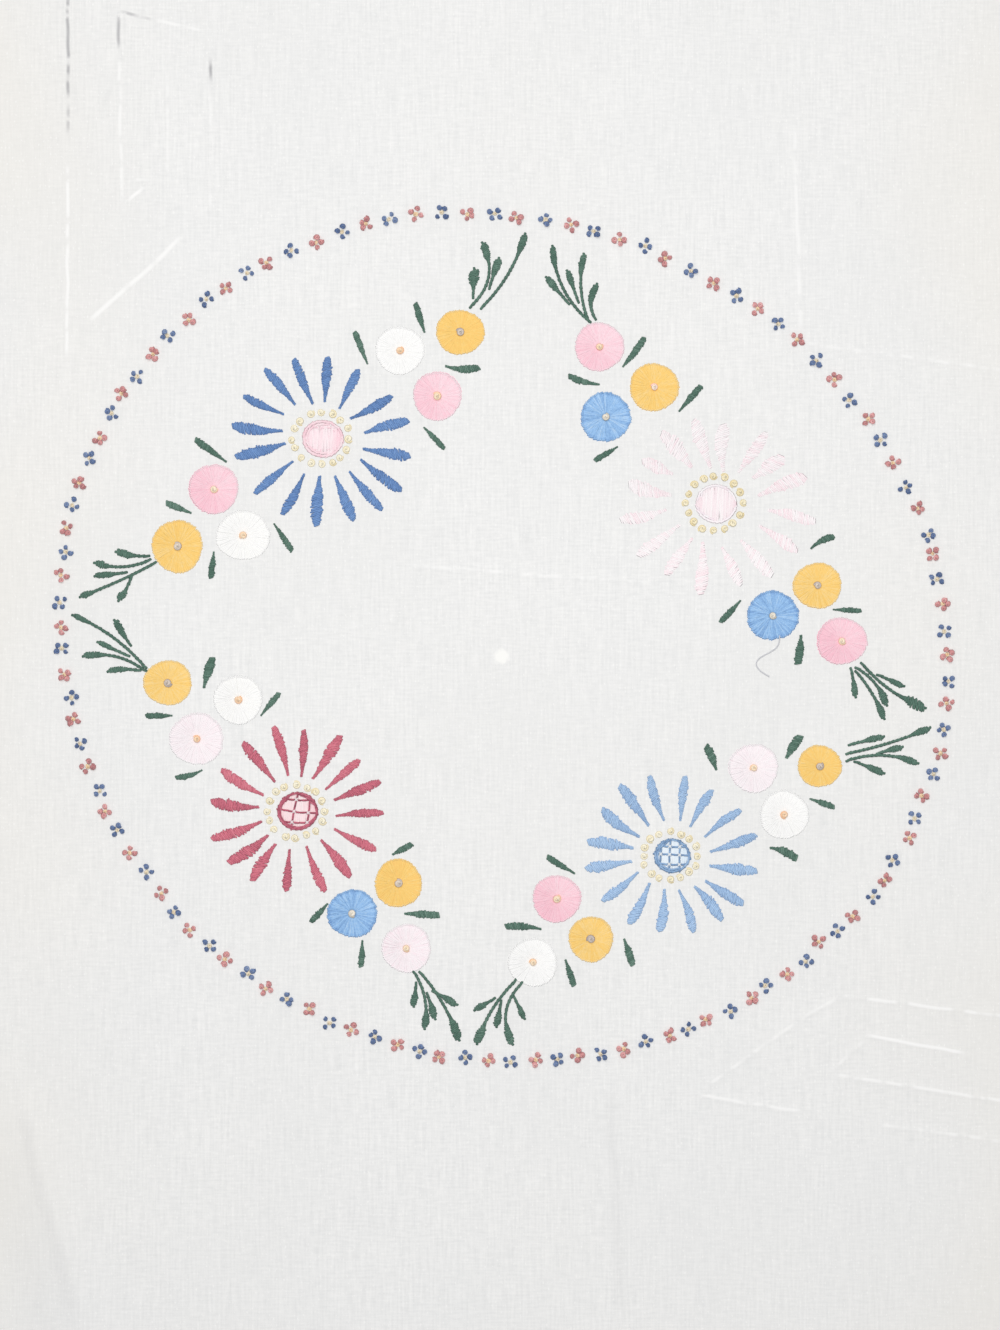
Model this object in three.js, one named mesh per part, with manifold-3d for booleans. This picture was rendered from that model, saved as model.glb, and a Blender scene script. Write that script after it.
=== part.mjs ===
// An embroidered cotton tablecloth that lies flat on a table, in millimetres, with +Z up.
// The origin is on the underside, at the middle of the cloth and of its embroidered ring.
// Seen from above with +Y at the top, the ring holds four daisies, and each daisy carries
// two sprays of round flowers, leaves and grass.
// One piece of cloth, so one solid: the hem and the raised embroidery are part of it.

import * as THREE from "three";
import { mergeVertices } from "three/addons/utils/BufferGeometryUtils.js";
import Module from "manifold-3d";

const wasm = await Module();
wasm.setup();

// The cloth: a square with a narrow hem, turned twice, so it is thicker along its edge.
const CLOTH_SIDE = 900;
const CLOTH_THICK = 1;
const HEM_WIDE = 12;
const HEM_THICK = 2;
const HEM_SLOPE = 1;
const EDGE_WANDER = 1.5;

// How high each kind of stitching stands above the cloth.
const SATIN_HIGH = 0.8;
const GRASS_HIGH = 0.6;
const KNOT_HIGH = 1.1;
const FLORET_HIGH = 1.2;
const RIM_HIGH = 0.8;
const DISH_HIGH = 0.4;
const SUNK = 0.3; // every pad starts this far inside the cloth

// The soft folds that were left where the cloth was put away, as low arches that run out
// to the hem. Each starts at x, y, leans by lean for each millimetre towards the hem, and
// has its full height after rise.
const folds = [
  { x: -204, y: -150, lean: 0.28, high: 2.6, halfWide: 24, rise: 110 },
  { x: 43, y: -190, lean: 0.05, high: 1.4, halfWide: 17, rise: 120 },
];
const FOLD_COLUMNS = [-1, -0.62, -0.25, 0.25, 0.62, 1]; // lines of points, as shares of halfWide

// The ring of small florets: a circle drawn by hand, so a little oval and unevenly spaced.
const ring = {
  florets: 112,
  radius: 173.5,
  oval: 6.5, // how much it bulges towards ovalAt, and draws in across it
  ovalAt: -24, // degrees
  threeSided: 1.6,
  drift: 3.5, // degrees by which the spacing opens on one side and closes on the other
  driftTwice: 1.8,
  driftAt: 154,
  size: 5.8,
};

// The four daisies. wide and tall are over the petals, turn is the first petal's angle.
const daisies = [
  { name: "upperLeft", x: -71.5, y: 79, wide: 71, tall: 67, turn: -2, disc: 7.8 },
  { name: "upperRight", x: 85.5, y: 53, wide: 75, tall: 69, turn: 4, disc: 8 },
  { name: "lowerRight", x: 68, y: -87.5, wide: 69, tall: 63, turn: -5, disc: 7.4 },
  { name: "lowerLeft", x: -81.5, y: -69.5, wide: 68, tall: 68, turn: 3, disc: 8.4 },
];
const PETALS = 16;
const PETAL_START = 0.49; // where a petal starts, as a share of the daisy's radius
const PETAL_WIDE = 4.6;
const PETAL_SLOPE = 0.35; // how far its sides lean in from the outline
const RING_KNOTS = 15;
const RING_KNOTS_AT = 3.4; // gap between the disc and the ring of knots round it
const KNOT_ACROSS = 3.4;

// The eight sprays. Each points along bearing from its daisy, with its outer round flower
// reach away, and side says on which side of that line its leading flower lies.
const sprays = [
  { daisy: "upperLeft", bearing: 38, reach: 69.8, side: 1 },
  { daisy: "upperLeft", bearing: -143.7, reach: 72.2, side: -1 },
  { daisy: "upperRight", bearing: 126.5, reach: 78.6, side: -1 },
  { daisy: "upperRight", bearing: -47.6, reach: 74.2, side: 1 },
  { daisy: "lowerRight", bearing: 31.1, reach: 69.4, side: -1 },
  { daisy: "lowerRight", bearing: -142.5, reach: 70, side: 1 },
  { daisy: "lowerLeft", bearing: 135.3, reach: 73.1, side: 1 },
  { daisy: "lowerLeft", bearing: -51.6, reach: 69.9, side: -1 },
];

// What every spray holds, measured from its outer flower: along its bearing and across it.
const roundFlowers = [
  { along: 0, across: 0, size: 19.6 },
  { along: -24, across: 8.3, size: 20.4 },
  { along: -23.8, across: -13.9, size: 20 },
];
const ROUND_KNOT = 3.8;
const leaves = [
  { along: -8.7, across: 12.2, long: 11, turn: 57 },
  { along: -34, across: 20.1, long: 11.6, turn: 71 },
  { along: -7.1, across: -13.5, long: 12, turn: 134 },
  { along: -35.7, across: -24.2, long: 11.1, turn: 98 },
];
const LEAF_WIDE = 3;
const grass = [
  { along: 11.5, across: 2, long: 31, turn: 12, stem: 0.58 },
  { along: 11, across: 4.5, long: 23.5, turn: 31, stem: 0.5 },
  { along: 22, across: 0.4, long: 9.5, turn: -9, stem: 0.1 },
  { along: 20.4, across: 5.6, long: 9.5, turn: 24, stem: 0.1 },
  { along: 13.2, across: 7, long: 10, turn: 50, stem: 0.1 },
];
const GRASS_WIDE = 3;
const STEM_WIDE = 1.2;

const DEGREE = Math.PI / 180;

// A number from -1 to 1 that looks random but is the same each time.
function uneven(i, kind) {
  const value = Math.sin(i * 12.9898 + kind * 78.233) * 43758.5453;
  return 2 * (value - Math.floor(value)) - 1;
}

// A closed geometry as a solid that can be joined and cut.
function solidOf(geometry) {
  const bare = geometry.clone();
  bare.deleteAttribute("normal");
  bare.deleteAttribute("uv");
  const merged = mergeVertices(bare, 1e-4);
  return new wasm.Manifold(
    new wasm.Mesh({
      numProp: 3,
      vertProperties: merged.attributes.position.array,
      triVerts: new Uint32Array(merged.index.array),
    }),
  );
}

// A solid as a geometry that can be drawn.
function geometryOf(solid) {
  const mesh = solid.getMesh();
  const geometry = new THREE.BufferGeometry();
  geometry.setAttribute("position", new THREE.BufferAttribute(mesh.vertProperties, 3));
  geometry.setIndex(new THREE.BufferAttribute(mesh.triVerts, 1));
  const faceted = geometry.toNonIndexed();
  faceted.computeVertexNormals();
  return faceted;
}

// How far the folds lift the cloth at a point.
function lift(x, y) {
  let height = 0;
  for (const fold of folds) {
    const down = fold.y - y;
    if (down <= 0) continue;
    const aside = Math.abs(x - (fold.x + fold.lean * down)) / fold.halfWide;
    if (aside >= 1) continue;
    const grown = THREE.MathUtils.smoothstep(down, 0, fold.rise);
    height += fold.high * grown * 0.5 * (1 + Math.cos(Math.PI * aside));
  }
  return height;
}

// The hand-cut edge wanders a little in and out along each side.
function wander(along, side) {
  return EDGE_WANDER * 0.5 * (Math.sin(along / 71 + side * 1.9) + Math.sin(along / 173 + side));
}

// The cloth as a grid of points. Its columns follow the folds, and both it and its underside
// are lifted by them. The hem is a thicker band along the edge.
function clothSolid() {
  const edge = CLOTH_SIDE / 2;
  const hem = [edge, edge - HEM_WIDE, edge - HEM_WIDE - HEM_SLOPE];
  const lower = hem.map((y) => -y);
  const columns = [...hem, ...lower, -330, -70, 180, 320].map((x) => ({ x, lean: 0, from: 0 }));
  for (const { x, y, lean, halfWide } of folds) {
    for (const share of FOLD_COLUMNS) columns.push({ x: x + share * halfWide, lean, from: y });
  }
  columns.sort((a, b) => a.x - b.x);
  const rows = [...lower, -395, -350, -305, -265, -230, -195, -150, 20, 180, 320, ...hem.reverse()];

  // The points from the edge up to each of these lines are the hem, and then its slope.
  const lastColumn = columns.length - 1;
  const lastRow = rows.length - 1;
  const fromEdge = (i, last) => Math.min(i, last - i);
  const point = (c, r, top) => {
    const column = columns[c];
    const y = rows[r];
    const x = column.x + column.lean * Math.max(0, column.from - y);
    const inHem = Math.min(fromEdge(c, lastColumn), fromEdge(r, lastRow)) <= 1;
    const thick = inHem ? HEM_THICK : CLOTH_THICK;
    const outX = fromEdge(c, lastColumn) <= 2 ? wander(y, Math.sign(x)) : 0;
    const outY = fromEdge(r, lastRow) <= 2 ? wander(x, 3 * Math.sign(y)) : 0;
    return [x + outX, y + outY, lift(x, y) + (top ? thick : 0)];
  };

  const points = [];
  for (const top of [false, true]) {
    for (let r = 0; r <= lastRow; r++) {
      for (let c = 0; c <= lastColumn; c++) points.push(...point(c, r, top));
    }
  }
  const faces = [];
  const under = (c, r) => r * columns.length + c;
  const over = (c, r) => rows.length * columns.length + under(c, r);
  const quad = (a, b, c, d) => faces.push(a, b, c, a, c, d);
  for (let r = 0; r < lastRow; r++) {
    for (let c = 0; c < lastColumn; c++) {
      quad(over(c, r), over(c + 1, r), over(c + 1, r + 1), over(c, r + 1));
      quad(under(c, r), under(c, r + 1), under(c + 1, r + 1), under(c + 1, r));
    }
  }
  for (let c = 0; c < lastColumn; c++) {
    quad(under(c, 0), under(c + 1, 0), over(c + 1, 0), over(c, 0));
    quad(under(c + 1, lastRow), under(c, lastRow), over(c, lastRow), over(c + 1, lastRow));
  }
  for (let r = 0; r < lastRow; r++) {
    quad(under(0, r + 1), under(0, r), over(0, r), over(0, r + 1));
    quad(under(lastColumn, r), under(lastColumn, r + 1), over(lastColumn, r + 1), over(lastColumn, r));
  }
  const geometry = new THREE.BufferGeometry();
  geometry.setAttribute("position", new THREE.Float32BufferAttribute(points, 3));
  geometry.setIndex(faces);
  return solidOf(geometry);
}

// A closed form from loops of points, one above the other, with a flat or pointed top.
function stacked(loops) {
  const count = loops[0].length;
  const points = loops.flat().flatMap((p) => [p.x, p.y, p.z]);
  const faces = [];
  for (let level = 0; level + 1 < loops.length; level++) {
    const low = level * count;
    const pointed = loops[level + 1].length === 1;
    for (let i = 0; i < count; i++) {
      const next = (i + 1) % count;
      const above = pointed ? low + count : low + count + next;
      faces.push(low + i, low + next, above);
      if (!pointed) faces.push(low + i, above, low + count + i);
    }
  }
  for (let i = 1; i + 1 < count; i++) faces.push(0, i + 1, i);
  const topLoop = loops[loops.length - 1];
  const top = points.length / 3 - topLoop.length;
  for (let i = 1; i + 1 < topLoop.length; i++) faces.push(top, top + i, top + i + 1);
  const geometry = new THREE.BufferGeometry();
  geometry.setAttribute("position", new THREE.Float32BufferAttribute(points, 3));
  geometry.setIndex(faces);
  return solidOf(geometry);
}

// A convex outline moved inwards by the same distance all round (outwards if it is negative).
function inset(outline, distance) {
  const count = outline.length;
  return outline.map((p, i) => {
    const before = outline[(i + count - 1) % count];
    const after = outline[(i + 1) % count];
    const one = new THREE.Vector2().subVectors(p, before).normalize();
    const two = new THREE.Vector2().subVectors(after, p).normalize();
    const inward = new THREE.Vector2(-one.y - two.y, one.x + two.x);
    const share = (2 * distance) / inward.lengthSq();
    return new THREE.Vector2(p.x + inward.x * share, p.y + inward.y * share);
  });
}

// A low pad of stitches with sloping sides, standing high above the cloth inside an outline.
function pad(outline, high, slope) {
  const at = (loop, z) => loop.map((p) => new THREE.Vector3(p.x, p.y, z));
  const foot = inset(outline, (-slope * SUNK) / high);
  return stacked([at(foot, CLOTH_THICK - SUNK), at(inset(outline, slope), CLOTH_THICK + high)]);
}

// An outline given along and across its own line, put in its place and turned.
function placed(outline, x, y, turn) {
  const cos = Math.cos(turn);
  const sin = Math.sin(turn);
  return outline.map(([a, b]) => new THREE.Vector2(x + a * cos - b * sin, y + a * sin + b * cos));
}

// Satin stitch, laid side by side across a petal: narrow at its root and round at its tip.
function petal(daisy, i) {
  const angle = (daisy.turn + (360 / PETALS) * (i + 0.12 * uneven(i, daisy.x))) * DEGREE;
  const radiusX = daisy.wide / 2;
  const radiusY = daisy.tall / 2;
  const reach = 1 / Math.hypot(Math.cos(angle) / radiusX, Math.sin(angle) / radiusY);
  const root = reach * PETAL_START;
  const half = (PETAL_WIDE / 2) * (1 + 0.08 * uneven(i, 5));
  const long = reach - root;
  const outline = [
    [root, -0.3 * half],
    [root + 0.65 * long, -half],
    [root + 0.93 * long, -0.6 * half],
    [root + 0.93 * long, 0.6 * half],
    [root + 0.65 * long, half],
    [root, 0.3 * half],
  ];
  return pad(placed(outline, daisy.x, daisy.y, angle), SATIN_HIGH, PETAL_SLOPE);
}

// A satin-stitch leaf, pointed at both ends.
function leaf(x, y, long, turn) {
  const end = long / 2;
  const half = LEAF_WIDE / 2;
  const outline = [
    [-end, 0],
    [-0.3 * end, -half],
    [0.5 * end, -half],
    [end, 0],
    [0.5 * end, half],
    [-0.3 * end, half],
  ];
  return pad(placed(outline, x, y, turn), SATIN_HIGH, 0.9);
}

// A blade of grass: a thin stem that widens into a satin-stitch tip.
function blade(x, y, long, turn, stem) {
  const thin = STEM_WIDE / 2;
  const wide = GRASS_WIDE / 2;
  const outline = [
    [0, -thin],
    [stem * long, -thin],
    [stem * long, thin],
    [0, thin],
  ];
  const tip = [
    [stem * long - 1, -0.8 * thin],
    [0.75 * long, -wide],
    [long, -0.7 * wide],
    [long, 0.7 * wide],
    [0.75 * long, wide],
    [stem * long - 1, 0.8 * thin],
  ];
  const tipPad = pad(placed(tip, x, y, turn), GRASS_HIGH, 0.4);
  if (stem * long < 2) return [tipPad];
  return [pad(placed(outline, x, y, turn), GRASS_HIGH, 0.3), tipPad];
}

// Points round a circle at one height.
function circle(x, y, z, radius, sides, turn = 0) {
  return Array.from({ length: sides }, (_, i) => {
    const angle = turn + (2 * Math.PI * i) / sides;
    return new THREE.Vector3(x + radius * Math.cos(angle), y + radius * Math.sin(angle), z);
  });
}

// A round flower of buttonhole stitch: a firm rim, a slightly dished face and a knot.
function roundFlower(x, y, size) {
  const rim = size / 2;
  const knot = ROUND_KNOT / 2;
  const z = CLOTH_THICK;
  const sides = 12;
  return stacked([
    circle(x, y, z - SUNK, rim + 0.3, sides),
    circle(x, y, z + RIM_HIGH, rim - 0.8, sides),
    circle(x, y, z + DISH_HIGH, knot + 0.9, sides),
    circle(x, y, z + KNOT_HIGH, knot * 0.6, sides),
  ]);
}

// The round middle of a daisy: a corded edge around a flatter filling.
function daisyDisc(daisy) {
  const z = CLOTH_THICK;
  const sides = 12;
  return stacked([
    circle(daisy.x, daisy.y, z - SUNK, daisy.disc + 0.3, sides),
    circle(daisy.x, daisy.y, z + RIM_HIGH, daisy.disc - 0.8, sides),
    circle(daisy.x, daisy.y, z + DISH_HIGH, daisy.disc - 2, sides),
  ]);
}

// One wound knot.
function knot(x, y, across, high) {
  const foot = circle(x, y, CLOTH_THICK - SUNK, (across / 2) * (1 + SUNK / high), 5, x);
  return stacked([foot, [new THREE.Vector3(x, y, CLOTH_THICK + high)]]);
}

// One floret of the ring: four knots around a fifth, as one low form with four lobes.
function floret(i) {
  const even = Math.PI / 2 - (2 * Math.PI * i) / ring.florets;
  const twice = ring.driftTwice * Math.cos(2 * even + ring.driftAt * DEGREE);
  const angle = even + (twice - ring.drift * Math.cos(even)) * DEGREE;
  const oval = ring.oval * Math.cos(2 * (even - ring.ovalAt * DEGREE));
  const radius = ring.radius + oval + ring.threeSided * Math.cos(3 * even) + 0.8 * uneven(i, 1);
  const x = radius * Math.cos(angle);
  const y = radius * Math.sin(angle);
  const turn = Math.PI * uneven(i, 2);
  const foot = Array.from({ length: 8 }, (_, k) => {
    const reach = (ring.size / 2) * (k % 2 ? 0.58 : 1) * (1 + SUNK / FLORET_HIGH);
    const around = turn + (Math.PI * k) / 4;
    const lobeX = x + reach * Math.cos(around);
    return new THREE.Vector3(lobeX, y + reach * Math.sin(around), CLOTH_THICK - SUNK);
  });
  return stacked([foot, [new THREE.Vector3(x, y, CLOTH_THICK + FLORET_HIGH)]]);
}

// Everything that one daisy carries.
function daisySolids(daisy) {
  const made = [daisyDisc(daisy)];
  for (let i = 0; i < PETALS; i++) made.push(petal(daisy, i));
  for (let i = 0; i < RING_KNOTS; i++) {
    const angle = ((i + 0.2 * uneven(i, daisy.y)) * 2 * Math.PI) / RING_KNOTS;
    const radius = daisy.disc + RING_KNOTS_AT;
    const x = daisy.x + radius * Math.cos(angle);
    const y = daisy.y + radius * Math.sin(angle);
    made.push(knot(x, y, KNOT_ACROSS, KNOT_HIGH));
  }
  return made;
}

// Everything in one spray, set out from its outer flower.
function spraySolids(spray) {
  const daisy = daisies.find((d) => d.name === spray.daisy);
  const bearing = spray.bearing * DEGREE;
  const outerX = daisy.x + spray.reach * Math.cos(bearing);
  const outerY = daisy.y + spray.reach * Math.sin(bearing);
  const place = ({ along, across }) => ({
    x: outerX + along * Math.cos(bearing) - spray.side * across * Math.sin(bearing),
    y: outerY + along * Math.sin(bearing) + spray.side * across * Math.cos(bearing),
  });
  const turned = (turn) => bearing + spray.side * turn * DEGREE;
  const made = [];
  for (const row of roundFlowers) {
    const { x, y } = place(row);
    made.push(roundFlower(x, y, row.size));
  }
  for (const row of leaves) {
    const { x, y } = place(row);
    made.push(leaf(x, y, row.long, turned(row.turn)));
  }
  for (const row of grass) {
    const { x, y } = place(row);
    made.push(...blade(x, y, row.long, turned(row.turn), row.stem));
  }
  return made;
}

const florets = Array.from({ length: ring.florets }, (_, i) => floret(i));
const stitched = [...florets, ...daisies.flatMap(daisySolids), ...sprays.flatMap(spraySolids)];
const cloth = wasm.Manifold.union([clothSolid(), ...stitched]);

// White plain-weave cotton, dull and slightly warm.
const cotton = new THREE.MeshStandardMaterial({ color: 0xefeeec, roughness: 0.9, metalness: 0 });

const tablecloth = new THREE.Mesh(geometryOf(cloth), cotton);
tablecloth.name = "tablecloth";

const group = new THREE.Group();
group.add(tablecloth);

export default group;
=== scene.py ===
import random
from math import copysign, cos, hypot, pi, radians, sin, sqrt

import bpy
import numpy as np
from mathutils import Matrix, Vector, noise
from mathutils.geometry import delaunay_2d_cdt


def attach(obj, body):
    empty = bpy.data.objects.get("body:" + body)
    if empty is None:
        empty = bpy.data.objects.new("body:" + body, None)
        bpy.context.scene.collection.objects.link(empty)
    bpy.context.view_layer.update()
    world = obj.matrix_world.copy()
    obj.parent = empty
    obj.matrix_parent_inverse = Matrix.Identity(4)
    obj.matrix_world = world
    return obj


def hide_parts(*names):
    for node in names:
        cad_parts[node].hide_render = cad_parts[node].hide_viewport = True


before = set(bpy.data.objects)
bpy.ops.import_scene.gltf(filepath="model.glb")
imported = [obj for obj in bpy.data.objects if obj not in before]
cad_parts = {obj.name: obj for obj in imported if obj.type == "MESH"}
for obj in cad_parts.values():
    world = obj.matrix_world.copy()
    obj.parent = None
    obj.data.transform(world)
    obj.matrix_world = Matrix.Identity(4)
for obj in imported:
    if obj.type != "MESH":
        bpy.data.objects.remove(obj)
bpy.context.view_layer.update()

scene = bpy.context.scene
# Sizes are written in mm where nothing else is said, and MM makes metres of them.
MM = 0.001


# The view: straight down on a cloth that lies flat on a pale surface. The picture takes in
# 400 by 532 mm round the embroidered ring, so the hem lies outside it. The light is soft,
# and a little stronger at the top of the design than at the foot.
VIEW_TALL = 532
VIEW_MIDDLE = (-0.8, -11.2)
VIEW_HIGH = 1000
FILM_TALL = 36
NEAREST = 50
SKY = "#FBFCFF"
SKY_STRENGTH = 0.43
LAMP_COLOUR = "#FFFDFA"
# Each light: name, where it is and how wide it is in metres, and its power in watts.
LIGHTS = [
    ("overhead_light", (0, 0.05, 1.124), 0.7, 6.05),
    ("window_light", (-0.4, 1.4, 1.8), 1.0, 10.9),
]


def linear(colour):
    """A colour written as sRGB hex, such as "#EFEEEC", as the linear values of a shader."""
    shares = [int(colour[i:i + 2], 16) / 255 for i in (1, 3, 5)]
    return [s / 12.92 if s <= 0.04045 else ((s + 0.055) / 1.055) ** 2.4 for s in shares] + [1]


def keep(name, data):
    """An object at the origin that holds a mesh, a lamp or the like, in the scene."""
    made = bpy.data.objects.new(name, data)
    scene.collection.objects.link(made)
    return made


camera = keep("camera", bpy.data.cameras.new("camera"))
camera.location = (VIEW_MIDDLE[0] * MM, VIEW_MIDDLE[1] * MM, VIEW_HIGH * MM)
camera.data.sensor_width = FILM_TALL
camera.data.lens = FILM_TALL * VIEW_HIGH / VIEW_TALL
camera.data.clip_start = NEAREST * MM
scene.camera = camera

scene.view_settings.view_transform = "Standard"
scene.view_settings.look = "None"
scene.world = bpy.data.worlds.new("studio")
scene.world.use_nodes = True
background = scene.world.node_tree.nodes["Background"]
background.inputs["Color"].default_value = linear(SKY)
background.inputs["Strength"].default_value = SKY_STRENGTH

for name, place, wide, power in LIGHTS:
    lamp = bpy.data.lights.new(name, "AREA")
    lamp.size = wide
    lamp.energy = power
    lamp.color = linear(LAMP_COLOUR)[:3]
    light = keep(name, lamp)
    light.location = place
    light.rotation_euler = (-Vector(place)).to_track_quat("-Z", "Y").to_euler()


# The floor: a painted board under the cloth, matt and pale, and a little darker than the
# cloth, so that the cloth's edge shows on it.
FLOOR_HALF = 4000
FLOOR_DROP = 0.2
BLOTCHES = 2.5


def new_material(name):
    """A material and its tree, which is still empty."""
    made = bpy.data.materials.new(name)
    made.use_nodes = True
    made.node_tree.nodes.clear()
    return made, made.node_tree


def add(tree, kind, feeds=(), **settings):
    """Adds a node to a tree. Its kind is written without its family, and with its operation
    if it has one. Its inputs are fed by name or in order. What feeds one is a value, a socket,
    or a node, whose first output in use is meant."""
    families = (tree.bl_idname.removesuffix("Tree"), "ShaderNode", "FunctionNode", "Node")
    kind, *operation = kind.split()
    node = tree.nodes.new(next(f + kind for f in families if hasattr(bpy.types, f + kind)))
    for name, value in settings.items():
        setattr(node, name, value)
    if operation:
        node.operation = operation[0]
    for place, feed in (feeds.items() if isinstance(feeds, dict) else enumerate(feeds)):
        if isinstance(feed, bpy.types.Node):
            feed = next(socket for socket in feed.outputs if socket.enabled)
        if isinstance(feed, bpy.types.NodeSocket):
            tree.links.new(feed, node.inputs[place])
        else:
            node.inputs[place].default_value = feed
    return node


board, tree = new_material("painted_board")
blotchy = add(tree, "TexNoise", {"Vector": add(tree, "TexCoord").outputs["Object"], "Scale": BLOTCHES})
paint = add(tree, "Mix", {0: blotchy, 6: linear("#CFCBC4"), 7: linear("#D6D2CB")}, data_type="RGBA")
add(tree, "OutputMaterial", [add(tree, "BsdfPrincipled", {"Base Color": paint, "Roughness": 0.85})])

floor_mesh = bpy.data.meshes.new("floor")
floor_mesh.from_pydata([
    (x * FLOOR_HALF * MM, y * FLOOR_HALF * MM, -FLOOR_DROP * MM)
    for x, y in ((-1, -1), (1, -1), (1, 1), (-1, 1))
], [], [(0, 1, 2, 3)])
floor_mesh.materials.append(board)
keep("floor", floor_mesh)


# The cloth: a square of plain-weave cotton with slightly uneven threads, hemmed by turning
# the edge twice. It lies flat but for two soft folds that run out to the hem, and the faint
# sharp creases left where it was pressed and put away, some white and some grey in dashes.
# Grey lines of painted shade lie along the two folds.
SIDE = 900
THICK = 1.0
HEM_WIDE = 12
HEM_THICK = 2.0
# The hand-cut edge wanders by up to so much, in two waves laid over each other, each given
# by how far it runs in one radian.
EDGE_WANDER = 1.5
EDGE_WAVES = (71, 173)

# Up the hem from the edge of the cloth: distance in, and height above the underside.
HEM_PROFILE = [
    (0, 0.9), (0.3, 1.6), (0.9, 1.93), (2, HEM_THICK), (10.8, 1.95), (11.6, 1.4), (12.2, THICK),
]

# Soft folds: where each starts, lean for each mm towards the hem, height, half width, rise.
FOLDS = [(-204, -150, 0.28, 2.6, 24, 110), (43, -190, 0.05, 1.4, 17, 120)]

# The small rise and fall of the cloth, which dies out at the hem: how high, how far across
# and up the cloth each wave is, and its layer of the noise.
RIPPLES = [(0.16, 46, 58, 1.7), (0.05, 15, 19, 8.3)]
RIPPLE_FROM = 2
RIPPLE_OVER = 20

# Pressed creases: the corners of each line, how wide it is beside a sharp one, its height (a
# trough is below 0), how white it is (grey is below 0), and how much of it shows.
CREASES = [
    ([(-173.6, 262), (-173.3, 214)], 1, -0.2, -0.75, 0.62),
    ([(-173.3, 214), (-173.4, 200)], 1, 0.1, -0.5, 0.6),
    ([(-173.3, 190), (-174, 110.8)], 1, 0.2, 0.9, 0.72),
    ([(-166.8, 124.8), (-146, 143), (-126.8, 160.8)], 1.3, 0.2, 0.9, 0.72),
    ([(-153.6, 250), (-152.8, 234)], 1, -0.2, -0.7, 0.75),
    ([(-153.6, 250), (-139, 246.6)], 1, 0.1, -0.6, 0.65),
    ([(-140, 246.8), (-117.6, 242)], 1, 0.15, 0.7, 0.5),
    ([(-152.8, 232), (-152, 172.8)], 1, 0.2, 0.7, 0.6),
    ([(-150.8, 172.8), (-141.6, 180.8)], 1, 0.2, 1.0, 0.8),
    ([(-150.8, 183), (-134, 182.4)], 1, 0.1, 0.5, 0.5),
    ([(-133.6, 226.8), (-133.6, 182.8)], 1, 0.15, 0.5, 0.5),
    ([(-116.4, 232.8), (-116.4, 220.8)], 1, -0.15, -0.8, 0.7),
    ([(-116.4, 218), (-116.4, 168.8)], 1, 0.15, 0.5, 0.5),
    ([(79.2, -181), (93.2, -171.6), (119, -153)], 1, 0.15, 0.7, 0.5),
    ([(119, -153), (135, -143.5)], 1, 0.2, 0.7, 0.5),
    ([(135, -143), (204, -152)], 1, 0.2, 0.9, 0.64),
    ([(77, -182.6), (121, -190)], 1, 0.2, 0.8, 0.62),
    ([(130.4, -174.4), (146.4, -160)], 1, 0.12, 0.6, 0.45),
    ([(144.4, -159), (186.2, -166.4)], 1, 0.2, 1.0, 0.68),
    ([(131.2, -174.6), (204, -186)], 1, 0.2, 0.8, 0.62),
    ([(147.2, -194.4), (204, -202)], 1, 0.15, 0.7, 0.5),
    ([(-39, 28.8), (10, 25), (60, 21.6)], 1, 0.2, 0.6, 0.5),
    ([(116.8, 206), (119.6, 120.8)], 1.2, 0.2, 0.6, 0.6),
    ([(119.6, 117.4), (204, 106)], 1, 0.2, 0.6, 0.5),
    # The last two lie along the soft folds, and their grey is painted shade.
    ([(42, -172), (45, -215), (47, -272)], 3, 0.6, -0.07, 1),
    ([(-194, -180), (-184, -222), (-168, -276)], 4, 0.7, -0.09, 1),
]
# Across a crease: distance, share of its height, share of its tint and painted shade.
CREASE_HALF = 2.4
CREASE_ACROSS = [
    (-CREASE_HALF, 0, 0), (-0.95, 0.5, 0), (-0.4, 0.9, 0.75), (0, 1, 1),
    (0.4, 0.9, 0.75), (0.95, 0.5, 0), (CREASE_HALF, 0, 0),
]
CREASE_STEP = 1.6
CREASE_GAP = 0.8
# A sharp crease fades over 5 mm at its ends, and strays by up to about half a mm.
CREASE_FADE = 5
CREASE_DRIFT = 0.5
CREASE_DRIFT_LONG = 9
DASH_LONG = 5
DASH_SHORT = 1.9

# The grid of the upper face is fine where the picture is taken, and coarse outside it. Points
# that are nearer to each other than MERGE are taken as one.
FINE_STEP = 3.5
COARSE_STEP = 9
FINE_X = 217
FINE_Y = 290
UNDER_STEP = 14
MERGE = 1e-5


def smooth(share):
    """A soft step from 0 to 1."""
    share = min(max(share, 0), 1)
    return share * share * (3 - 2 * share)


def fold_lift(x, y):
    """How far the soft folds lift the cloth at a point, in mm."""
    height = 0
    for fold_x, fold_y, lean, high, half_wide, rise in FOLDS:
        down = fold_y - y
        aside = abs(x - (fold_x + lean * down)) / half_wide
        if down > 0 and aside < 1:
            height += high * smooth(down / rise) * 0.5 * (1 + cos(pi * aside))
    return height


def strayed(place, along, side):
    """One coordinate of a point, moved by the wander of the hand-cut edge if it is near it."""
    if SIDE / 2 - abs(place) > HEM_WIDE + 1:
        return place
    side = copysign(side, place)
    short, long = EDGE_WAVES
    waves = sin(along / short + side * 1.9) + sin(along / long + side)
    return place + EDGE_WANDER * 0.5 * waves


def on_cloth(x, y):
    """Where the uneven edge carries a point of the square cloth, in metres."""
    return strayed(x, y, 1) * MM, strayed(y, x, 3) * MM


def cloth_top(x, y):
    """Height of the cloth's upper face at a point, in mm."""
    inward = SIDE / 2 - max(abs(x), abs(y))
    ripple = sum(
        high * noise.noise((x / across, y / up, layer)) for high, across, up, layer in RIPPLES
    ) * smooth((inward - RIPPLE_FROM) / RIPPLE_OVER)
    return fold_lift(x, y) + float(np.interp(inward, *zip(*HEM_PROFILE))) + ripple


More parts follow.
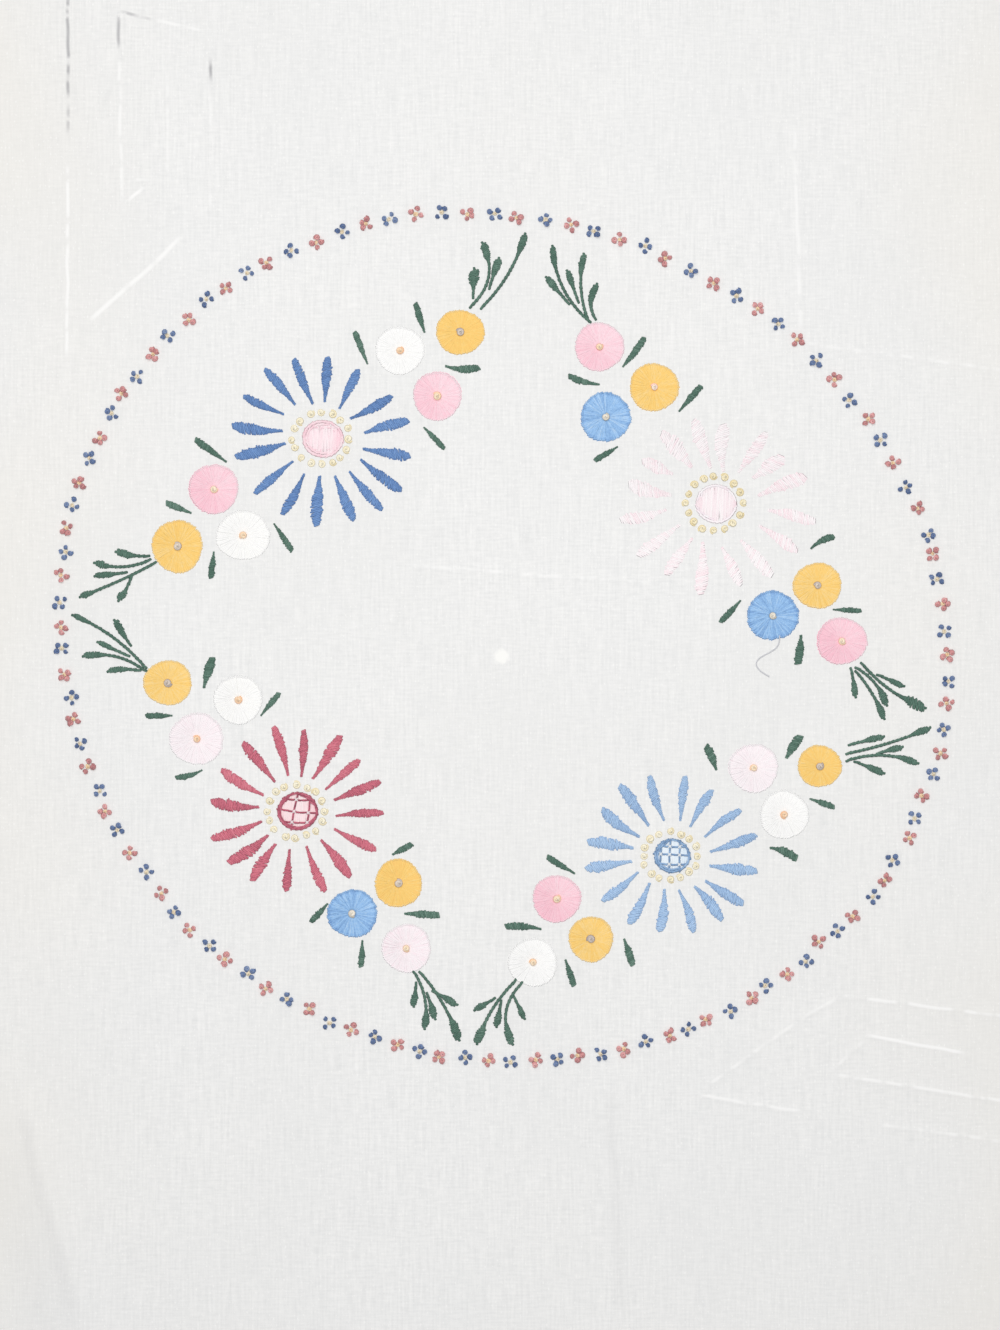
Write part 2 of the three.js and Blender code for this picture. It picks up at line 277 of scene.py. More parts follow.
def grid_lines(fine_reach):
    """Places of the grid's lines on one side of the middle and the other, in mm."""
    inner = SIDE / 2 - HEM_PROFILE[-1][0]
    fine = np.arange(0, fine_reach, FINE_STEP)
    coarse = np.linspace(fine_reach, inner, round((inner - fine_reach) / COARSE_STEP) + 1)
    hem = [SIDE / 2 - inward for inward, high in reversed(HEM_PROFILE[:-1])]
    half = [*fine, *coarse, *hem]
    return [-p for p in reversed(half[1:])] + half


def joined(points):
    """Faces over flat points, and for each of their corners the number of its point."""
    _, _, faces, sources, _, _ = delaunay_2d_cdt(
        [Vector(point[:2]) for point in points], [], [], 0, MERGE, True
    )
    return faces, [source[0] for source in sources]


def write_numbers(mesh, name, numbers):
    """Writes a number on each point of a mesh, for its stitches or its material to read."""
    mesh.attributes.new(name, "FLOAT", "POINT").data.foreach_set("value", list(numbers))


# Points along each crease: place, rise and tint, which is painted shade on the two folds. Its tint comes
# and goes in dashes.
crease_points = []
xs, ys = grid_lines(FINE_X), grid_lines(FINE_Y)
spread = np.array([(x, y) for y in ys for x in xs])
clear = np.ones(len(spread), bool)
for number, (line, wide, high, tint_and_shade, shows) in enumerate(CREASES):
    line = [Vector(corner) for corner in line]
    length = sum((b - a).length for a, b in zip(line, line[1:]))
    fade = CREASE_FADE * wide
    done = 0
    for a, b in zip(line, line[1:]):
        way = (b - a).normalized()
        across = Vector((-way.y, way.x))
        steps = max(1, round((b - a).length / CREASE_STEP))
        for step in range(steps):
            share = (step + 0.5) / steps
            run = done + (b - a).length * share
            ends = smooth(run / fade) * smooth((length - run) / fade)
            drift = CREASE_DRIFT * noise.noise((run / CREASE_DRIFT_LONG, number * 3.1, 0))
            dash = noise.noise((run / DASH_LONG, number * 5.7, 2))
            dash += 0.5 * noise.noise((run / DASH_SHORT, number, 4))
            seen = smooth(2 * dash + 4 * shows - 1.5)
            for aside, rise, crease_marks_and_shade in CREASE_ACROSS:
                place = a.lerp(b, share) + across * (aside * wide + drift)
                crease_points.append((*place, high * rise * ends, tint_and_shade * crease_marks_and_shade * seen * ends))
        done += (b - a).length
        start, reach = np.array(a), np.array(b) - np.array(a)
        near_share = np.clip((spread - start) @ reach / (reach @ reach), 0, 1)
        gap = np.linalg.norm(spread - start - near_share[:, None] * reach, axis=1)
        clear &= gap > CREASE_HALF * wide + CREASE_GAP

flat_points = [(x, y, 0, 0) for x, y in spread[clear]] + crease_points
top_faces, sources = joined(flat_points)
top, crease_marks_and_shade = [], []
rim_top = {}
half = SIDE / 2
for i, source in enumerate(sources):
    x, y, rise, tint_and_shade = flat_points[source]
    top.append((*on_cloth(x, y), (cloth_top(x, y) + rise) * MM))
    crease_marks_and_shade.append(tint_and_shade)
    if max(abs(x), abs(y)) == half:
        rim_top[(x, y)] = i

# The underside has wider faces, but the same points all round its edge.
rim = [(x, -half) for x in xs[:-1]] + [(half, y) for y in ys[:-1]]
rim += [(x, half) for x in reversed(xs[1:])] + [(-half, y) for y in reversed(ys[1:])]
inside = np.linspace(-half, half, round(SIDE / UNDER_STEP) + 1)[1:-1]
under_points = rim + [(x, y) for y in inside for x in inside]
under_faces, sources = joined(under_points)
under = []
rim_under = {}
for i, source in enumerate(sources):
    x, y = under_points[source]
    under.append((*on_cloth(x, y), fold_lift(x, y) * MM))
    if source < len(rim):
        rim_under[(x, y)] = len(top) + i

cloth_mesh = bpy.data.meshes.new("cloth")
cloth_mesh.from_pydata(top + under, [], [
    *map(tuple, top_faces),
    *(tuple(len(top) + corner for corner in reversed(face)) for face in under_faces),
    *((rim_top[a], rim_under[a], rim_under[b], rim_top[b]) for a, b in zip(rim, rim[1:] + rim[:1])),
])
write_numbers(cloth_mesh, "crease_marks_and_shade", crease_marks_and_shade + [0] * len(under))
cloth_mesh.shade_smooth()

# Plain-weave cotton, washed and pressed: matt, off-white, with a faint sheen. Its threads
# lie 0.45 mm apart, too fine to show, so only the thicker ones are drawn, 1 mm and more
# wide and 10 to 40 mm long, down the cloth and, fainter, across it.
cotton, tree = new_material("plain_weave_cotton")
place = add(tree, "TexCoord").outputs["Object"]


def threads(across, along, detail):
    """Noise drawn out along the threads: across and along are a thread's size in mm."""
    drawn = add(tree, "Mapping", {"Vector": place, "Scale": (1 / (across * MM), 1 / (along * MM), 1)})
    return add(tree, "TexNoise", {"Vector": drawn, "Scale": 1.0, "Detail": detail})


weave = add(tree, "Math MULTIPLY_ADD", [threads(0.9, 16, 3), 1.2, threads(7, 0.9, 3)])
slubbed = add(tree, "Math MULTIPLY_ADD", [threads(1.5, 2.3, 4), 0.6, weave])
grain = add(tree, "MapRange", [slubbed, 0.95, 1.85, 0.0, 1.0])
clouds = add(tree, "MapRange", [threads(70, 90, 1), 0.35, 0.7, 0.0, 0.3])

# Towards its left and right edges the cotton has yellowed a little, in patches.
aside = add(tree, "Math ABSOLUTE", [add(tree, "SeparateXYZ", [place])])
yellowed = add(tree, "Math MULTIPLY", [
    add(tree, "MapRange", [aside, 0.13, 0.21, 0.12, 1.0]),
    add(tree, "MapRange", [threads(90, 120, 0), 0.35, 0.65, 0.1, 0.55]),
])

# Here and there a nep, a knot of fibre in a thread, shows as a pale fleck about 1 mm long.
neps = add(tree, "MapRange", [threads(0.7, 1.3, 0), 0.7, 0.8, 0.0, 0.6])

# The tint of the creases: white in dashes, and grey in others; along the two folds the grey is painted
# shade.
tint_and_shade = add(tree, "Attribute", attribute_name="crease_marks_and_shade").outputs["Fac"]
whiter = add(tree, "Math MAXIMUM", [tint_and_shade, 0])
grey_and_fold_shade = add(tree, "Math MAXIMUM", [add(tree, "Math MULTIPLY", [tint_and_shade, -1]), 0])

# A bleached spot 6 mm across near the middle, with a ragged outline.
SPOT = (-0.2, -7.9)
SPOT_RADIUS = 3.1
from_spot = add(tree, "VectorMath LENGTH", [add(tree, "Mapping", {
    "Vector": place, "Location": (-SPOT[0] / SPOT_RADIUS, -SPOT[1] / SPOT_RADIUS, 0),
    "Scale": (1 / (SPOT_RADIUS * MM), 1 / (SPOT_RADIUS * MM), 0),
})])
ragged = add(tree, "Math MULTIPLY_ADD", [threads(1.6, 1.9, 2), 0.9, from_spot])
spot = add(tree, "MapRange", [ragged, 1.1, 1.6, 0.9, 0.0])

# The colours, one over another: how much of each shows, and the colour.
colouring = linear("#E8E9E9")
for shows, colour in [
    (grain, "#FAFAF9"), (clouds, "#EBECEC"), (yellowed, "#F2EFE8"), (neps, "#FFFFFD"),
    # the grey is painted shade along the two folds, and grey dashes on the pressed creases
    (whiter, "#FFFFFE"), (grey_and_fold_shade, "#A2A2A6"), (spot, "#FFFFFC"),
]:
    colouring = add(tree, "Mix", {0: shows, 6: colouring, 7: linear(colour)}, data_type="RGBA")
add(tree, "OutputMaterial", [add(tree, "BsdfPrincipled", {
    "Base Color": colouring, "Roughness": 0.92, "Specular IOR Level": 0.25, "Sheen Weight": 0.08,
    "Sheen Roughness": 0.6,
    "Normal": add(tree, "Bump", {"Strength": 0.35, "Distance": 0.12 * MM, "Height": weave}),
})])

cloth_mesh.materials.append(cotton)
cloth = keep("cloth", cloth_mesh)
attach(cloth, "root")
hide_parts("tablecloth")


# The hem's sewing: straight stitches in white cotton, near the hem's inner edge, all round.
# Each is a short thread that comes up through the cloth, lies on it and goes down again.
HEM_SEAM_IN = 10.2
SEAM_POINTS = 60
# How deep the stitches lie in the cloth's upper face.
SUNK = 0.05


def new_tree(name, sizes, form=False):
    """A tree and its inputs: a named one for each size, and, unless it only makes a form, one
    for the carrier that it works on and one for the thread."""
    made = bpy.data.node_groups.new(name, "GeometryNodeTree")
    face = made.interface
    face.new_socket("Geometry", in_out="OUTPUT", socket_type="NodeSocketGeometry")
    if not form:
        face.new_socket("Geometry", in_out="INPUT", socket_type="NodeSocketGeometry")
        face.new_socket("Thread", in_out="INPUT", socket_type="NodeSocketMaterial")
    for label, size in sizes.items():
        kind = "NodeSocketInt" if isinstance(size, int) else "NodeSocketFloat"
        face.new_socket(label, in_out="INPUT", socket_type=kind).default_value = size
    return made, add(made, "GroupInput").outputs


def end_tree(tree, start, stitches):
    """Ends a tree, and hands it back: its stitches are made real, smooth, and of the thread."""
    soft = add(tree, "SetShadeSmooth", [add(tree, "RealizeInstances", [stitches])])
    add(tree, "GroupOutput", [add(tree, "SetMaterial", {"Geometry": soft, "Material": start["Thread"]})])
    return tree


def near(tree, start, middle, spread, draw):
    """A number for each stitch, off the middle by chance, up to the spread either way. The
    number of the draw tells it apart from the tree's others."""
    seed = add(tree, "Math ADD", [start["Seed"], draw])
    drawn = add(tree, "RandomValue", {2: -1.0, 3: 1.0, "Seed": seed})
    return add(tree, "Math MULTIPLY_ADD", [drawn, spread, middle])


def toned(tree, start, points, draw, more=0.0):
    """The stitches' points with a tone on each: that of the carrier, with a little chance."""
    tone = near(tree, start, add(tree, "InputNamedAttribute", ["tone"]), start["Tone Spread"], draw)
    return add(tree, "StoreNamedAttribute", {
        "Geometry": points, "Name": "tone", "Value": add(tree, "Math ADD", [more, tone]),
    })


def thread_outline(tree, sides, radius):
    """The outline of a thread, with the way round it on its points, as a share."""
    circle = add(tree, "CurvePrimitiveCircle", {"Resolution": sides, "Radius": radius})
    way_round = add(tree, "Math DIVIDE", [add(tree, "InputIndex"), sides])
    return add(tree, "StoreNamedAttribute", {"Geometry": circle, "Name": "round", "Value": way_round})


# One stitch, 2 long, 1 wide and 1 high before it is scaled: a thread that arches from one
# hole to the next, along Y, with its ends in the cloth.
stitch_form, start = new_tree("stitch form", {
    "Steps": 7, "Sides": 5, "Root Width": 0.7, "Root Reach": 0.45, "Tip Width": 0.7,
}, form=True)
tree = stitch_form
share = add(tree, "SplineParameter")
path = add(tree, "StoreNamedAttribute", {
    "Geometry": add(tree, "CurvePrimitiveBezierSegment", {
        "Resolution": start["Steps"], "Start": (0, -1, -0.35), "Start Handle": (0, -0.97, 0.98),
        "End Handle": (0, 0.97, 0.98), "End": (0, 1, -0.35),
    }),
    "Name": "along", "Value": share,
})
root_width = add(
    tree, "MapRange", [share, 0.0, start["Root Reach"], start["Root Width"], 1.0],
    interpolation_type="SMOOTHSTEP",
)
tip_width = add(
    tree, "MapRange", [share, 0.55, 1.0, 1.0, start["Tip Width"]], interpolation_type="SMOOTHSTEP"
)
outline = thread_outline(tree, start["Sides"], 0.5)
add(tree, "GroupOutput", [add(tree, "CurveToMesh", {
    "Curve": path, "Fill Caps": True,
    "Profile Curve": add(tree, "Transform", {"Geometry": outline, "Scale": (1, 0.62, 1)}),
    "Scale": add(tree, "Math MULTIPLY", [root_width, tip_width]),
})])


def stitch(tree, start, root_width, tip_width, root_reach=0.45):
    """One stitch form in a tree, with the tree's steps and sides."""
    return add(tree, "Group", {
        "Steps": start["Steps"], "Sides": start["Sides"], "Root Width": root_width,
        "Root Reach": root_reach, "Tip Width": tip_width,
    }, node_tree=stitch_form)


def turned(tree, direction, axis, by):
    """A rotation that lays an axis of the stitch along a direction, then turns it by an angle."""
    laid = add(tree, "AlignRotationToVector", {"Vector": direction}, axis=axis, pivot_axis="Z")
    more = add(tree, "EulerToRotation", [add(tree, "CombineXYZ", {"Z": by})])
    return add(tree, "RotateRotation", [laid, more], rotation_space="LOCAL")


def lay(tree, points, form, rotation, wide, long, high):
    """A form on each point, turned, and scaled to a stitch's width, length and height."""
    return add(tree, "InstanceOnPoints", {
        "Points": points, "Instance": form, "Rotation": rotation,
        "Scale": add(tree, "CombineXYZ", [wide, long, high]),
    })


def along_lines(tree, start):
    """Points along the carrier's lines, one for each stitch, with its tone."""
    curve = add(tree, "MeshToCurve", {"Mesh": start["Geometry"]})
    points = add(tree, "ResampleCurve", {"Curve": curve, "Length": start["Pitch"]}, mode="LENGTH")
    return toned(tree, start, points, 1)


# Stitches that follow a line, end to end or overlapping like a rope.
tree, start = new_tree("line stitches", {
    "Pitch": 3.0 * MM, "Stitch Length": 2.2 * MM, "Thread Width": 0.6 * MM, "Height": 0.4 * MM,
    "Slant": 0.0, "Unevenness": 0.08, "Tone Spread": 0.25, "Steps": 6, "Sides": 5, "Seed": 0,
})
half_long = add(tree, "Math MULTIPLY", [start["Stitch Length"], 0.5])
line_stitches = end_tree(tree, start, lay(
    tree, along_lines(tree, start), stitch(tree, start, 0.6, 0.6),
    turned(tree, add(tree, "InputTangent"), "Y",
           near(tree, start, start["Slant"], start["Unevenness"], 3)),
    start["Thread Width"],
    add(tree, "Math MULTIPLY", [near(tree, start, 1.0, start["Unevenness"], 2), half_long]),
    start["Height"],
))


def carrier(lines, **numbers):
    """What a stitch tree works on: lines of points, in mm on the cloth, and numbers on the
    points, each given once for all of them, or for each line, or for each point of each line."""
    points, joins, held = [], [], {label: [] for label in numbers}
    for i, line in enumerate(lines):
        joins += [(len(points) + j, len(points) + j + 1) for j in range(len(line) - 1)]
        points += line
        for label, given in numbers.items():
            given = given[i] if isinstance(given, list) else given
            held[label] += given if isinstance(given, list) else [given] * len(line)
    mesh = bpy.data.meshes.new("carrier")
    mesh.from_pydata([(x * MM, y * MM, (cloth_top(x, y) - SUNK) * MM) for x, y in points], joins, [])
    for label, values in held.items():
        write_numbers(mesh, label, values)
    return mesh


def embroider(name, mesh, tree, thread, **sizes):
    """Works a carrier with a stitch tree, and keeps the stitches as one plain mesh."""
    work = keep(name, mesh)
    modifier = work.modifiers.new("stitches", "NODES")
    modifier.node_group = tree
    named = {label.replace("_", " ").title(): size for label, size in sizes.items()}
    named["Thread"] = thread
    for item in tree.interface.items_tree:
        if item.in_out == "INPUT" and item.name in named:
            modifier[item.identifier] = named.pop(item.name)
    if named:
        raise ValueError(f"{tree.name} has no input named {sorted(named)}")
    graph = bpy.context.evaluated_depsgraph_get()
    done = bpy.data.meshes.new_from_object(
        work.evaluated_get(graph), preserve_all_data_layers=True, depsgraph=graph
    )
    work.modifiers.clear()
    work.data = done
    done.name = name
    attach(work, "root")


def cotton_thread(name, deep, main, light, shine=0.45, end_shade=0.55, ridge=0.08):
    """Stranded embroidery cotton, mercerised so that it has a soft gloss: six strands, loosely
    twisted, and not dyed quite evenly. Shade is painted into its colour, towards the deep dye,
    where a stitch goes down into the cloth and on a knot's outer rim. The ridge is how far a
    strand stands out, in mm; it is less where the thread lies flat."""
    made, tree = new_material(name)
    tone, along, around = (
        add(tree, "Attribute", attribute_name=held).outputs["Fac"] for held in ("tone", "along", "round")
    )
    fibre = add(tree, "TexNoise", {
        "Vector": add(tree, "TexCoord").outputs["Object"], "Scale": 1400.0, "Detail": 2.0,
    })
    # Strands: three of the six show at a time, and wind about once in the length of a stitch.
    # Each stitch starts its winding at its own place, which its tone sets.
    begun = add(tree, "Math MULTIPLY_ADD", [tone, 9.0, around])
    wound = add(tree, "Math MULTIPLY_ADD", [along, 1.3, begun])
    strands = add(tree, "Math SINE", [add(tree, "Math MULTIPLY", [wound, 3 * 2 * pi])])
    # Painted shade: near the ends of a stitch, where it goes down into the cloth, the colour darkens
    # towards the deep dye.
    from_middle = add(tree, "Math ABSOLUTE", [add(tree, "Math MULTIPLY_ADD", [along, 2.0, -1.0])])
    painted_end_shade = add(tree, "MapRange", [from_middle, 0.4, 1.0, 0.0, -end_shade], interpolation_type="SMOOTHSTEP")
    mottled = add(tree, "Math MULTIPLY_ADD", [fibre, 0.5, -0.25])
    tone_and_end_shade = add(tree, "Math ADD", [tone, painted_end_shade])
    shade = add(tree, "Math ADD", [tone_and_end_shade, mottled])
    dye_and_shade = add(tree, "ValToRGB", [add(tree, "Math MULTIPLY_ADD", [strands, 0.04, shade])])
    colours = dye_and_shade.color_ramp.elements
    colours[0].color = linear(deep)
    colours[1].color = linear(light)
    colours.new(0.5).color = linear(main)
    add(tree, "OutputMaterial", [add(tree, "BsdfPrincipled", {
        "Base Color": dye_and_shade, "Specular IOR Level": 0.3, "Sheen Weight": 0.15, "Sheen Roughness": 0.5,
        "Roughness": add(tree, "MapRange", [fibre, 0.0, 1.0, 1 - shine - 0.06, 1 - shine + 0.1]),
        "Normal": add(tree, "Bump", {
            "Strength": 0.5, "Distance": ridge * MM,
            "Height": add(tree, "Math MULTIPLY_ADD", [fibre, 0.6, strands]),
        }),
    })])
    return made


seam = SIDE / 2 - HEM_SEAM_IN
sides = []
for side in range(4):
    turn = side * pi / 2
    line = [
        (-s * sin(turn) + seam * cos(turn), s * cos(turn) + seam * sin(turn))
        for s in np.linspace(seam, -seam, SEAM_POINTS)
    ]
    sides.append([(x, strayed(y, x, 3)) if side % 2 else (strayed(x, y, 1), y) for x, y in line])
embroider(
    "hem_stitches", carrier(sides, tone=0.5), line_stitches,
    cotton_thread("white_sewing_cotton", "#D8D8D4", "#F0F0EC", "#FBFBF8", shine=0.3),
    pitch=3.1 * MM, stitch_length=2.3 * MM, thread_width=0.55 * MM, height=0.35 * MM,
    steps=5, sides=4, seed=11,
)


# The ring: 112 small florets, blue and coral in turn, each of four French knots round a
# light one. A French knot is thread wound twice round the needle and drawn down in a coil.
FLORETS = 112
# The ring's middle and radius, how far it is off round, as an oval that is longest at a
# bearing in degrees, and how far as a three-sided form.
RING = {"x": 0, "y": -0.2, "radius": 173.5, "oval": 6.5, "oval_at": -24.2, "three_sided": 1.6}
# How far the florets have crept round the ring, in degrees, and how unevenly each lies, in mm.
CREPT = {"all": 0.33, "once": 3.46, "twice": 1.76, "twice_at": 154}
STRAY_ROUND = 0.6
STRAY_OUT = 0.7
FLORET_TONES = (0.35, 0.65)
# The florets of each colour: the first of them, their dye, how wide a knot is, and how far
# out it lies.
FLORET_KINDS = {
    "blue": (0, ("#4D6490", "#6B82AE", "#93A7CB"), 2.55, 2.05),
    "coral": (1, ("#B97C7F", "#E19E9E", "#F6C1C1"), 2.7, 1.95),
}
CENTRE_WIDE = 2.3

# One knot, about 1 wide before it is scaled: a coil of thread that is highest in its middle.
knot_form, start = new_tree("knot form", {"Steps": 8, "Sides": 4}, form=True)
tree = knot_form
coil = add(tree, "CurveToMesh", {
    "Curve": add(tree, "CurveSpiral", {
        "Resolution": start["Steps"], "Rotations": 1.7, "Start Radius": 0.36, "End Radius": 0.04,
        "Height": 0.3,
    }),
    "Profile Curve": thread_outline(tree, start["Sides"], 0.17), "Fill Caps": True,
})
# The distance from the axis is kept as along, so that the thread's material paints shade on the outer rim
# of the knot, as it does at a stitch's ends.
aside = add(tree, "VectorMath MULTIPLY", [add(tree, "InputPosition"), (1, 1, 0)])
from_axis = add(tree, "VectorMath LENGTH", [aside])
coil = add(tree, "StoreNamedAttribute", {
    "Geometry": coil, "Name": "along",
    "Value": add(tree, "Math MULTIPLY_ADD", [from_axis, 0.95, 0.5]),
})
add(tree, "GroupOutput", [add(tree, "Transform", {"Geometry": coil, "Translation": (0, 0, 0.1)})])


def copied(tree, start, count):
    """Copies of each point of the carrier, their numbers, and the angle from one to the next."""
    copies = add(
        tree, "DuplicateElements", {"Geometry": start["Geometry"], "Amount": count}, domain="POINT"
    )
    return *copies.outputs, add(tree, "Math DIVIDE", [2 * pi, count])


def on_oval(tree, angle, across, up):
    """The point at an angle on an oval that reaches so far across and up."""
    along_x = add(tree, "Math COSINE", [angle])
    along_y = add(tree, "Math SINE", [angle])
    return add(tree, "CombineXYZ", [
        add(tree, "Math MULTIPLY", [across, along_x]),
        add(tree, "Math MULTIPLY", [up, along_y]),
    ])


tree, start = new_tree("french knots", {
    "Around": 1, "Reach": 0.0, "Height": 0.9, "Unevenness": 0.1, "Tone Spread": 0.2,
    "Steps": 8, "Sides": 4, "Seed": 0,
})
points, number, apart = copied(tree, start, start["Around"])
spaced = add(tree, "Math MULTIPLY_ADD", [number, apart, add(tree, "InputNamedAttribute", ["turn"])])
swing = add(tree, "Math MULTIPLY", [start["Unevenness"], 2.0])
out = add(tree, "Math MULTIPLY", [start["Reach"], near(tree, start, 1.0, start["Unevenness"], 2)])
placed = add(tree, "SetPosition", {
    "Geometry": points, "Offset": on_oval(tree, near(tree, start, spaced, swing, 1), out, out),
})
across = add(tree, "Math MULTIPLY", [
    add(tree, "InputNamedAttribute", ["across"]), near(tree, start, 1.0, start["Unevenness"], 4),
])
tipped = add(tree, "CombineXYZ", {
    "X": near(tree, start, 0.0, 0.15, 5), "Z": near(tree, start, pi, pi, 6),
})
knots = end_tree(tree, start, lay(
    tree, toned(tree, start, placed, 3),
    add(tree, "Group", {"Steps": start["Steps"], "Sides": start["Sides"]}, node_tree=knot_form),
    add(tree, "EulerToRotation", [tipped]), across, across,
    add(tree, "Math MULTIPLY", [across, start["Height"]]),
))

dice = random.Random(112)
florets = []
for i in range(FLORETS):
    even = radians(90 - 360 * i / FLORETS)
    bearing = (even - radians(CREPT["once"]) * cos(even)
               + radians(CREPT["twice"]) * cos(2 * even + radians(CREPT["twice_at"]))
               - radians(CREPT["all"]) + dice.gauss(0, STRAY_ROUND) / RING["radius"])
    radius = (RING["radius"] + RING["oval"] * cos(2 * (even - radians(RING["oval_at"])))
              + RING["three_sided"] * cos(3 * even) + dice.gauss(0, STRAY_OUT))
    florets.append((
        [(RING["x"] + radius * cos(bearing), RING["y"] + radius * sin(bearing))],
        dice.uniform(0, pi / 2), dice.uniform(*FLORET_TONES),
    ))

for seed, (colour, (first_floret, dye, wide, reach)) in enumerate(FLORET_KINDS.items(), 21):
    places, turns, colouring = zip(*florets[first_floret::2])
    embroider(
        colour + "_florets", carrier(places, turn=list(turns), tone=list(colouring), across=wide * MM),
        knots, cotton_thread(colour + "_floret_cotton", *dye),
        around=4, reach=reach * MM, unevenness=0.15, tone_spread=0.2, seed=seed,
    )
embroider(
    "floret_centres",
    carrier([place for place, _, _ in florets], turn=0, tone=[0.35, 0.75] * (FLORETS // 2),
            across=CENTRE_WIDE * MM),
    knots, cotton_thread("pale_gold_cotton", "#F4EBD2", "#F8E3C0", "#FFD9A8"),
    reach=0.0, height=0.6, tone_spread=0.08, seed=23,
)


# The four daisies: 16 long petals in satin stitch, each worked across from its narrow end
# to a blunt tip, so its edges are a little ragged. Round the disc lies a ring of cream
# French knots.

# Each daisy: its middle, how far out its ring of knots lies across and up, and its dye. Each
# petal: bearing of its tip, how far its tip and its narrow end are from the middle, and how
# many degrees the narrow end lies aside of the tip.
DAISIES = {
    "blue": {
        "x": -71.6, "y": 79.2, "knots": (11.4, 10.4), "dye": ("#4A6CA3", "#6D94CC", "#8CB2E4"),
        "petals": [
            (87, 32.3, 15.0, 0), (63, 30.7, 14.0, -2), (32, 32.0, 13.9, 4), (12, 34.7, 17.1, -4),
            (-11, 35.1, 16.8, -3), (-33, 37.2, 17.5, 4), (-50, 36.6, 17.1, -1), (-69, 34.5, 15.9, -3),
            (-94, 34.6, 15.3, -1), (-118, 34.0, 16.1, 0), (-141, 34.5, 15.2, -2), (-168, 35.2, 15.4, -5),
            (172, 36.2, 16.7, -3), (152, 35.6, 18.7, -4), (130, 35.8, 17.8, -1), (110, 33.5, 14.8, -4),
        ],
    },
    "blush": {
        "x": 85.6, "y": 53.2, "knots": (11.3, 10.9), "dye": ("#FFE1E9", "#FFF9FB", "#FFFFFF"),
        "petals": [
            (85, 31.4, 13.6, -7), (55, 34.4, 15.7, 0), (36, 32.1, 18.3, -1), (17, 36.8, 17.6, -6),
            (-10, 39.8, 21.1, 3), (-30, 37.0, 19.5, 3), (-52, 35.9, 18.0, -4), (-73, 33.5, 17.9, -9),
            (-100, 36.3, 16.6, -9), (-125, 34.1, 17.1, 0), (-146, 36.9, 17.0, -4), (-170, 38.3, 20.5, -3),
            (168, 35.2, 18.7, 1), (150, 33.6, 21.4, -4), (128, 35.1, 18.0, -4), (105, 34.2, 14.8, -6),
        ],
    },
    "sky": {
        "x": 68.0, "y": -87.4, "knots": (10.8, 9.5), "dye": ("#83A4D0", "#ADCDF1", "#C8E0FB"),
        "petals": [
            (81, 31.8, 14.6, -4), (59, 30.3, 13.9, -1), (34, 32.5, 15.3, -4), (14, 34.1, 15.6, -8),
            (-10, 34.0, 15.8, -5), (-34, 33.9, 16.9, -3), (-52, 32.2, 15.4, -2), (-74, 31.4, 14.2, -5),
            (-99, 30.3, 14.0, -4), (-122, 31.8, 14.4, -7), (-147, 32.9, 15.4, -7), (-171, 34.5, 16.6, -1),
            (171, 33.8, 16.1, -2), (147, 33.2, 15.4, 3), (127, 34.7, 15.5, 1), (106, 32.8, 14.7, -3),
        ],
    },
    "crimson": {
        "x": -81.6, "y": -69.6, "knots": (11.4, 10.6), "dye": ("#A05065", "#DC778A", "#F19CA8"),
        "petals": [
            (86, 32.1, 14.1, -2), (61, 34.2, 14.5, 4), (40, 31.6, 14.3, -2), (20, 34.6, 15.5, -3),
            (-1, 33.8, 15.6, -6), (-26, 34.4, 16.5, 0), (-51, 33.2, 15.0, 0), (-71, 33.5, 14.7, -5),
            (-98, 31.9, 15.9, -4), (-123, 32.8, 16.1, -1), (-143, 34.1, 15.5, 2), (-162, 35.8, 15.2, -2),
            (174, 34.4, 15.9, 0), (152, 34.3, 15.4, 3), (129, 34.6, 15.1, -1), (106, 34.8, 15.0, -1),
        ],
    },
}
PETAL_POINTS = 12
# Half the width of a petal and how much of it one has, how far along it is widest, how far
# its middle may bend aside, and its tone, which is deeper at the narrow end.
PETAL_HALF = 2.15
PETAL_FULL = (0.82, 1.15)
PETAL_WIDEST = (0.55, 0.78)
PETAL_BOW = 0.7
PETAL_TONES = (0.4, 0.6)
DEEPER = 0.08
# The blush petals are fuller, in a looser thread that lies flatter, with less painted shade at the ends of
# its stitches.
LOOSE_HALF = 2.9
LOOSE_SIZES = {"thread_width": 1.6 * MM, "height": 0.18 * MM, "tone_spread": 0.17}
LOOSE_THREAD = {"end_shade": 0.35, "ridge": 0.02}
# The ring of knots, whose middle is a little to the left of the daisy's. They stray round it
# by a share of their spacing, and outwards by a share of its size.
RING_KNOTS = 16
RING_LEFT = 0.8
RING_KNOT_WIDE = 3.6
KNOT_STRAY_ROUND = 0.12
KNOT_STRAY_OUT = 0.035
KNOT_TONE = 0.58
BLUSH_KNOT_TONE = 0.38

